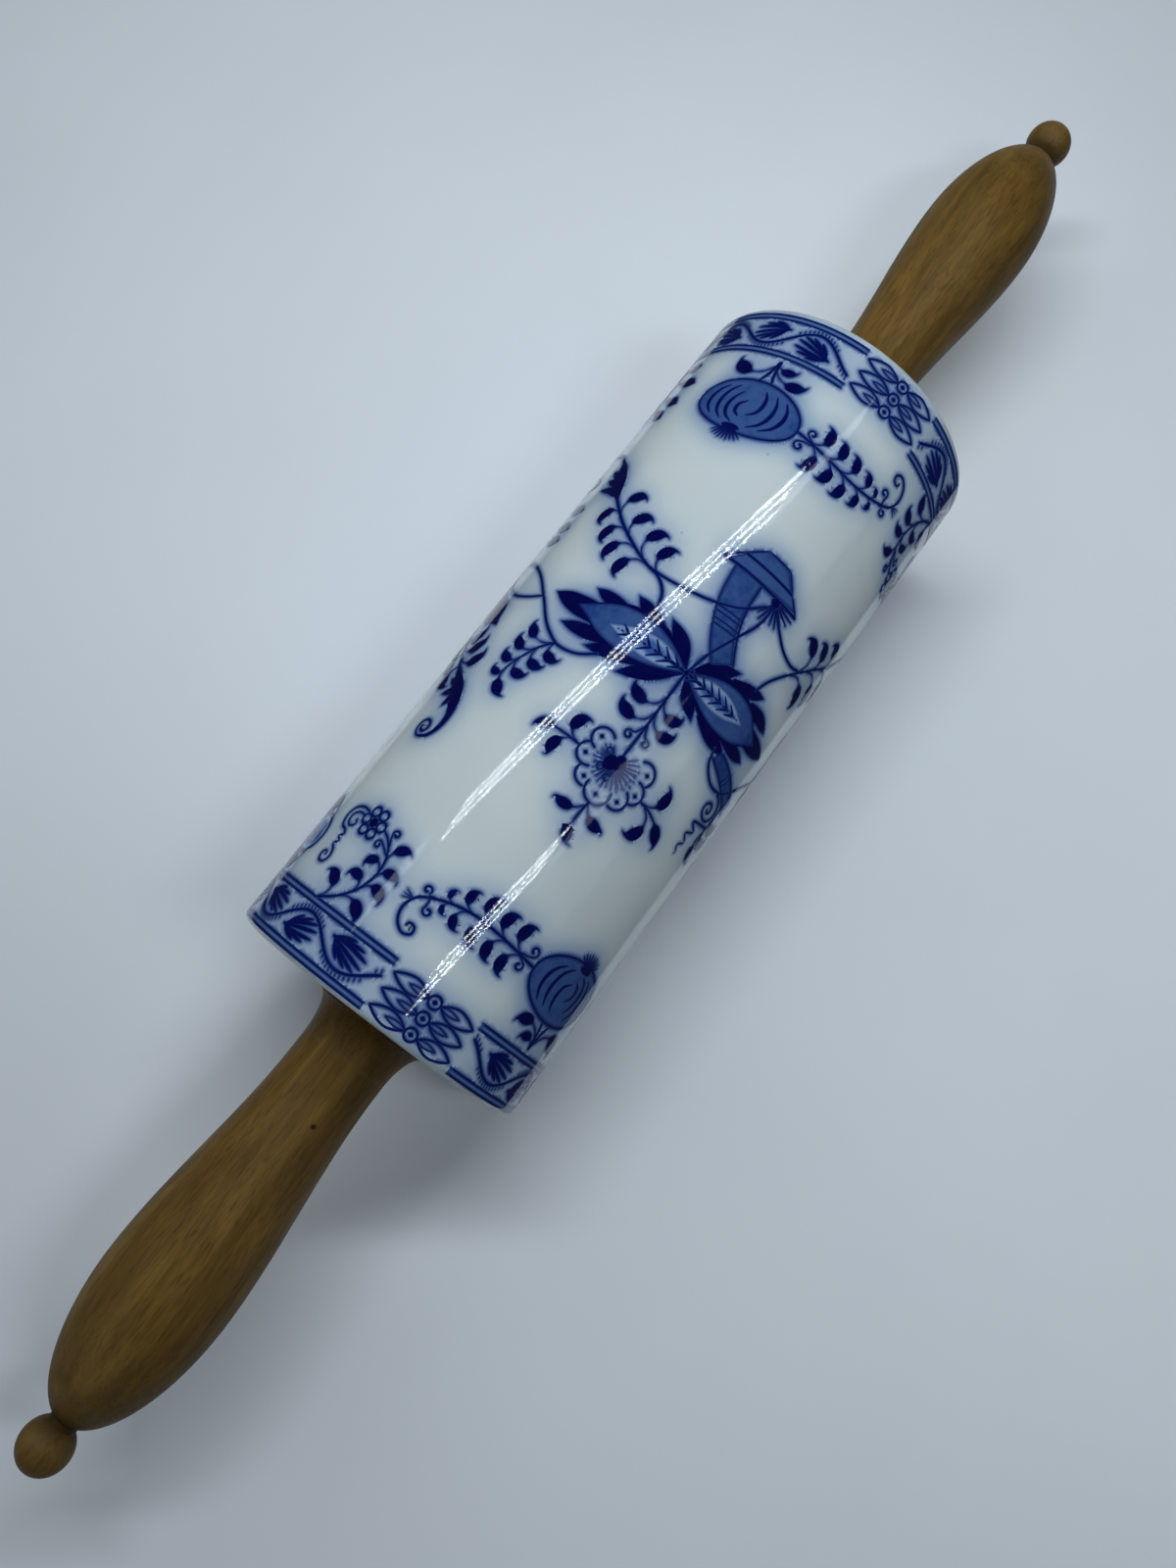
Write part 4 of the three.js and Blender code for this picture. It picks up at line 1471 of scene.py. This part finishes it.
    # past the straight wall the print bends over the rim
    rim, fromMiddle = start.outputs["Rim Round"], maths("ABSOLUTE", flat.outputs["X"])
    straight = maths("MINIMUM", fromMiddle, maths("SUBTRACT", start.outputs["Half Length"], rim))
    bend = maths("DIVIDE", maths("SUBTRACT", fromMiddle, straight), rim)
    outAt = maths("SUBTRACT", outAt, maths("MULTIPLY", rim, maths("SUBTRACT", 1.0, maths("COSINE", bend))))
    farOut = maths("ADD", straight, maths("MULTIPLY", rim, maths("SINE", bend)))
    wrapped = addNode(tree, "ShaderNodeCombineXYZ")
    link(maths("MULTIPLY", farOut, maths("SIGN", flat.outputs["X"])), wrapped.inputs["X"])
    link(maths("MULTIPLY", outAt, maths("SINE", turn)), wrapped.inputs["Y"])
    above = maths("MULTIPLY", outAt, maths("COSINE", turn))
    link(maths("ADD", start.outputs["Axis Height"], above), wrapped.inputs["Z"])
    wrap = addNode(tree, "GeometryNodeSetPosition")
    link(mapped.outputs["Geometry"], wrap.inputs["Geometry"])
    link(wrapped.outputs["Vector"], wrap.inputs["Position"])
    ink = addNode(tree, "GeometryNodeSetMaterial")
    link(wrap.outputs["Geometry"], ink.inputs["Geometry"])
    link(start.outputs["Ink"], ink.inputs["Material"])
    link(ink.outputs["Geometry"], end.inputs["Geometry"])
    return tree


# each ink runs from the colour of the edge to its thin and its full colour, by a measure of the stroke
inks = {
    "cobaltInk": {
        "edge": (0.022, 0.055, 0.200, 1),
        "thin": (0.0015, 0.0060, 0.100, 1),
        "full": (0.0010, 0.0012, 0.060, 1),  # where the brush left most colour
        "softness": 0.22,  # width of the edge
        "grainSize": 260.0,
        "measure": "halfWidth",
        "thinToFull": (0.3, 1.3),
    },
    "washInk": {
        "edge": (0.004, 0.014, 0.125, 1),
        "thin": (0.010, 0.042, 0.200, 1),
        "full": (0.041, 0.094, 0.272, 1),  # a broad wash spreads its colour out
        "softness": 0.9,
        "grainSize": 420.0,
        "measure": "halfWidth",
        "thinToFull": (0.3, 6.0),
    },
    "paleInk": {
        "edge": (0.010, 0.042, 0.200, 1),
        "thin": (0.240, 0.360, 0.580, 1),
        "full": (0.045, 0.105, 0.340, 1),  # between the veins
        "softness": 0.9,
        "grainSize": 300.0,
        "measure": "inside",
        "thinToFull": (0.9, 2.2),
    },
}
inkGrain = {"span": (0.3, 0.7), "shift": (-0.4, 0.4)}


def makeInk(name, look):
    material, tree, shader = newMaterial(name, Roughness=glaze["roughness"], IOR=glaze["ior"])
    place = addNode(tree, "ShaderNodeTexCoord")
    grain = setInputs(addNode(tree, "ShaderNodeTexNoise"), Scale=look["grainSize"], Detail=3.0, Roughness=0.6)
    tree.links.new(place.outputs["Object"], grain.inputs["Vector"])
    inside = addNode(tree, "ShaderNodeAttribute", attribute_name="inside")
    measured = addNode(tree, "ShaderNodeAttribute", attribute_name=look["measure"])
    thinAt, fullAt = look["thinToFull"]
    uneven = addNode(tree, "ShaderNodeMath", operation="ADD", use_clamp=True)
    tree.links.new(spread(tree, measured.outputs["Fac"], thinAt * mm, fullAt * mm), uneven.inputs[0])
    shift = spread(tree, grain.outputs["Fac"], *inkGrain["span"], *inkGrain["shift"])
    tree.links.new(shift, uneven.inputs[1])
    body = mixColours(tree, uneven.outputs[0], look["thin"], look["full"])
    fromEdge = spread(tree, inside.outputs["Fac"], 0.0, look["softness"] * mm)
    tree.links.new(mixColours(tree, fromEdge, look["edge"], body), shader.inputs["Base Color"])
    coverWithGlaze(tree, shader)
    return material


def makeHaze():
    material, tree, shader = newMaterial("inkHaze", Roughness=glaze["roughness"], IOR=glaze["ior"])
    steepness = -printed["hazeWidth"] / printed["hazeFade"]
    inside = addNode(tree, "ShaderNodeAttribute", attribute_name="inside")
    strength = addNode(tree, "ShaderNodeMath", operation="EXPONENT")
    faded = addNode(tree, "ShaderNodeMath", operation="SUBTRACT")
    faded.inputs[1].default_value = math.exp(steepness)
    tinted = placeGroup(tree, blueInGlaze, Glaze=glaze["white"])
    falling = spread(tree, inside.outputs["Fac"], 0.0, printed["hazeWidth"] * mm, steepness, 0.0)
    tree.links.new(falling, strength.inputs[0])
    tree.links.new(strength.outputs[0], faded.inputs[0])
    tree.links.new(faded.outputs[0], tinted.inputs["Near Stroke"])
    tree.links.new(tinted.outputs["Colour"], shader.inputs["Base Color"])
    coverWithGlaze(tree, shader)
    return material


def faceOut(mesh):
    # the print lies under the glaze, so it shades as the barrel does
    rim = barrelBody["rimRound"]

    def outward(place):
        around = Vector((0, place.y, place.z - axisHeight)).normalized()
        over = min(max(abs(place.x) - barrelHalf + rim, 0.0) / rim, 1.0)
        return around * math.sqrt(1 - over * over) + Vector((math.copysign(over, place.x), 0, 0))

    shape = bmesh.new()
    shape.from_mesh(mesh)
    shape.normal_update()
    tilts = [face.normal.dot(outward(face.verts[0].co)) for face in shape.faces]
    facing = math.copysign(1, sum(tilts))
    # in a tight bend a broad stroke folds over itself, and the folded faces go
    folded = [face for face, tilt in zip(shape.faces, tilts) if tilt * facing < printed["steepest"]]
    if facing < 0:
        bmesh.ops.reverse_faces(shape, faces=shape.faces)
    bmesh.ops.delete(shape, geom=folded, context="FACES")
    shape.to_mesh(mesh)
    shape.free()
    mesh.normals_split_custom_set_from_vertices([outward(v.co) for v in mesh.vertices])


def roundOff(path, flow):
    # the path, carried on past both ends and rounded
    steps = printed["hazeCap"]

    def cap(end, before):
        away = (Vector(end[:2]) - Vector(before[:2])).normalized() * flow
        points = []
        for i in range(1, steps + 1):
            a = math.pi / 2 * i / steps
            out = math.sin(a)
            points.append((end[0] + away.x * out, end[1] + away.y * out, end[2] * math.cos(a)))
        return points

    return cap(path[0], path[1])[::-1] + path + cap(path[-1], path[-2])


def paintLayer(kind, strokes, material, tree, flow=0.0):
    name = "print" + kind.capitalize()
    lift, columns = printed["layers"][kind]
    data = bpy.data.curves.new(name + "Strokes", "CURVE")
    data.dimensions = "3D"
    for stroke in strokes:
        path = smoothPath(stroke, printed["hazeStep"] if flow else printed["step"])
        path = [(x, v, width - printed["shrink"] + flow) for x, v, width in path]
        if flow:
            path = roundOff(path, flow)
        spline = data.splines.new("POLY")
        spline.points.add(len(path) - 1)
        for point, (x, v, width) in zip(spline.points, path):
            point.co = (x * mm, v * mm, 0, 1)
            point.radius = max(width, printed["thinnest"]) * mm
    strokesObject = bpy.data.objects.new(name + "Strokes", data)
    bpy.context.scene.collection.objects.link(strokesObject)
    brush = strokesObject.modifiers.new("brush", "NODES")
    brush.node_group = tree
    values = {
        "Barrel Radius": barrelRadius, "Axis Height": axisHeight, "Half Length": barrelHalf,
        "Rim Round": barrelBody["rimRound"], "Blunt": printed["blunt"] * mm, "Lift": lift * mm,
        "Crown": printed["crown"], "Crown Width": printed["crownWidth"] * mm, "Columns": columns,
        "Repeats": printed["repeats"], "Map Start": printed["mapStart"], "Map Turns": printed["mapTurns"],
        "Ink": material,
    }
    for item in tree.interface.items_tree:
        if item.in_out == "INPUT" and item.name in values:
            brush[item.identifier] = values[item.name]
    evaluated = strokesObject.evaluated_get(bpy.context.evaluated_depsgraph_get())
    mesh = bpy.data.meshes.new_from_object(evaluated)
    mesh.name = name
    bpy.data.objects.remove(strokesObject)
    bpy.data.curves.remove(data)
    showPiece(name, mesh, material, "barrel")
    faceOut(mesh)
    print(name, len(strokes), "strokes,", len(mesh.polygons), "faces")
    return mesh


def paintBarrel():
    layers = drawPattern()
    tree = makeBrushTree()
    cobalt, wash, pale = [makeInk(name, look) for name, look in inks.items()]
    blurred = layers["deep"] + layers["wash"] + layers["line"]
    haze = paintLayer("haze", blurred, makeHaze(), tree, printed["hazeWidth"])
    field = bleedField(blurred)
    for mesh in (barrelMesh, haze):
        bleedInto(mesh, field)
    for kind, ink in (("deep", cobalt), ("wash", wash), ("pale", pale), ("line", cobalt)):
        paintLayer(kind, layers[kind], ink, tree)


paintBarrel()


# a pale table under two rows of lamp strips, with a soft wall of light at the left
studio = {
    "table": (0.885, 0.912, 0.965, 1),
    "tableShade": 0.93,  # its darker clouds
    "tableClouds": 5.0,  # to a metre
    "tableCloudSpan": (0.3, 0.7),
    "tableRoughness": 0.75,
    "tableWidth": 6.0,
    "mirrored": (-0.074, 0.11),  # the glaze mirrors only this strip of the table
    "backdrop": (0.42, 0.47, 0.53, 1),  # what the camera sees past the lit table
    "backdropFrom": 0.35,
    "backdropWhole": 0.6,
    "cameraAt": (-0.0840, -0.0519, 0.2901),  # from the middle of the barrel's axis
    "cameraRight": (0.5941, -0.8044, 0.0),
    "cameraUp": (0.7781, 0.5746, 0.2539),
    "lens": 27.0,
    "sensorWidth": 36.0,
    "clip": (0.01, 20.0),
    "lampHeight": 0.5,
    "lampColour": (0.86, 0.95, 1.0),
    "stripWidth": 0.003,
    "stripGap": 0.019,
    "stripGlare": 48.0,  # brightness of the strips in the glaze
    "glowWidth": 0.055,
    # the power is that of the soft light below the strips
    "mainRow": {"from": (0.0, 0.25), "to": (0.293, -0.124), "strips": 3, "power": 1.49},
    "lowRow": {"from": (-0.096, -0.195), "to": (0.032, -0.332), "strips": 3, "power": 0.54},
    "dimPanels": [
        {"from": (0.048, -0.351), "to": (0.170, -0.503), "width": 0.09, "glare": 1.3},
        {"from": (0.271, -0.130), "to": (0.389, -0.205), "width": 0.035, "glare": 2.6},
        {"from": (-0.020, 0.300), "to": (-0.081, 0.357), "width": 0.05, "glare": 2.0},
    ],
    "wallAt": (-0.15, 0.75, 0.75),
    "wallSize": (1.2, 0.8),
    "wallPower": 2.15,
    "wallColour": (0.88, 0.95, 1.0),
    "sky": (0.80, 0.90, 1.0, 1),
    "skyStrength": 0.03,
}


def joinShaders(tree, factor, first, second, output):
    mix = addNode(tree, "ShaderNodeMixShader")
    tree.links.new(factor, mix.inputs[0])
    tree.links.new(first.outputs[0], mix.inputs[1])
    tree.links.new(second.outputs[0], mix.inputs[2])
    tree.links.new(mix.outputs[0], output.inputs["Surface"])


def makeTable():
    material, tree, shader = newMaterial("tableTop", Roughness=studio["tableRoughness"])
    place = addNode(tree, "ShaderNodeTexCoord")
    cloud = setInputs(addNode(tree, "ShaderNodeTexNoise"), Scale=studio["tableClouds"], Detail=4.0)
    tree.links.new(place.outputs["Object"], cloud.inputs["Vector"])
    shade = tuple(c * studio["tableShade"] for c in studio["table"][:3]) + (1,)
    dark = spread(tree, cloud.outputs["Fac"], *studio["tableCloudSpan"])
    colour = mixColours(tree, dark, studio["table"], shade)
    tree.links.new(colour, shader.inputs["Base Color"])
    # far out the table runs into the backdrop, for the camera alone
    away = addNode(tree, "ShaderNodeVectorMath", operation="LENGTH")
    tree.links.new(place.outputs["Object"], away.inputs[0])
    far = spread(tree, away.outputs["Value"], studio["backdropFrom"], studio["backdropWhole"])
    seen = addNode(tree, "ShaderNodeMath", operation="MULTIPLY")
    tree.links.new(addNode(tree, "ShaderNodeLightPath").outputs["Is Camera Ray"], seen.inputs[0])
    tree.links.new(far, seen.inputs[1])
    backdrop = setInputs(addNode(tree, "ShaderNodeEmission"), Color=studio["backdrop"])
    joinShaders(tree, seen.outputs[0], shader, backdrop, tree.nodes["Material Output"])
    half, (right, left) = studio["tableWidth"] / 2, studio["mirrored"]
    strips = (
        ("tableRight", -half, right, False), ("table", right, left, True), ("tableLeft", left, half, False),
    )
    for name, low, high, mirrored in strips:
        mesh = bpy.data.meshes.new(name)
        corners = [(-half, low, 0), (half, low, 0), (half, high, 0), (-half, high, 0)]
        mesh.from_pydata(corners, [], [(0, 1, 2, 3)])
        mesh.materials.append(material)
        table = bpy.data.objects.new(name, mesh)
        bpy.context.scene.collection.objects.link(table)
        table.visible_glossy = mirrored


def addLamp(name, size, power, colour, place, hiddenFrom):
    data = bpy.data.lights.new(name, "AREA")
    data.shape = "RECTANGLE"
    data.size, data.size_y = size
    data.energy = power
    data.color = colour
    lamp = bpy.data.objects.new(name, data)
    bpy.context.scene.collection.objects.link(lamp)
    lamp.matrix_world = place
    lamp.visible_camera = False
    setattr(lamp, "visible_" + hiddenFrom, False)


def lampPlace(row):
    height = studio["lampHeight"]
    first, last = Vector((*row["from"], height)), Vector((*row["to"], height))
    heading = (last - first).to_2d()
    turn = Matrix.Rotation(math.atan2(heading.y, heading.x), 4, "Z")
    return Matrix.Translation((first + last) / 2) @ turn, heading


def addStrips(name, row):
    # thin strips side by side, which the glaze mirrors
    # one soft lamp in their place gives the light that they would cast
    s = studio
    place, heading = lampPlace(row)
    glare = s["stripGlare"] * math.pi * heading.length * s["stripWidth"]
    for i in range(row["strips"]):
        shift = Matrix.Translation((0, s["stripGap"] * (i - (row["strips"] - 1) / 2), 0))
        size = (heading.length, s["stripWidth"])
        addLamp(name + str(i), size, glare, s["lampColour"], place @ shift, "diffuse")
    size = (heading.length, s["glowWidth"])
    addLamp(name + "Glow", size, row["power"], s["lampColour"], place, "glossy")


def lightStudio():
    s = studio
    world = bpy.data.worlds.new("studio")
    bpy.context.scene.world = world
    world.use_nodes = True
    tree = world.node_tree
    sky = setInputs(tree.nodes["Background"], Color=s["sky"], Strength=s["skyStrength"])
    backdrop = setInputs(addNode(tree, "ShaderNodeBackground"), Color=s["backdrop"])
    seen = addNode(tree, "ShaderNodeLightPath").outputs["Is Camera Ray"]
    joinShaders(tree, seen, sky, backdrop, tree.nodes["World Output"])
    addStrips("mainStrip", s["mainRow"])
    addStrips("lowStrip", s["lowRow"])
    for i, panelRow in enumerate(s["dimPanels"]):
        place, heading = lampPlace(panelRow)
        size = (heading.length, panelRow["width"])
        power = panelRow["glare"] * math.pi * size[0] * size[1]
        addLamp("dimPanel" + str(i), size, power, s["lampColour"], place, "diffuse")
    wallAt = Vector(s["wallAt"])
    aim = (Vector((0, 0, axisHeight)) - wallAt).to_track_quat("-Z", "Y").to_matrix().to_4x4()
    place = Matrix.Translation(wallAt) @ aim
    addLamp("softWall", s["wallSize"], s["wallPower"], s["wallColour"], place, "glossy")


def placeCamera():
    s = studio
    data = bpy.data.cameras.new("camera")
    data.lens, data.sensor_width = s["lens"], s["sensorWidth"]
    data.clip_start, data.clip_end = s["clip"]
    camera = bpy.data.objects.new("camera", data)
    bpy.context.scene.collection.objects.link(camera)
    right, up = Vector(s["cameraRight"]), Vector(s["cameraUp"])
    turn = Matrix((right, up, right.cross(up))).transposed().to_4x4()
    place = Vector(s["cameraAt"]) + Vector((0, 0, axisHeight))
    camera.matrix_world = Matrix.Translation(place) @ turn
    bpy.context.scene.camera = camera


makeTable()
lightStudio()
placeCamera()
bpy.context.scene.view_settings.view_transform = "Standard"
print("studio lit")
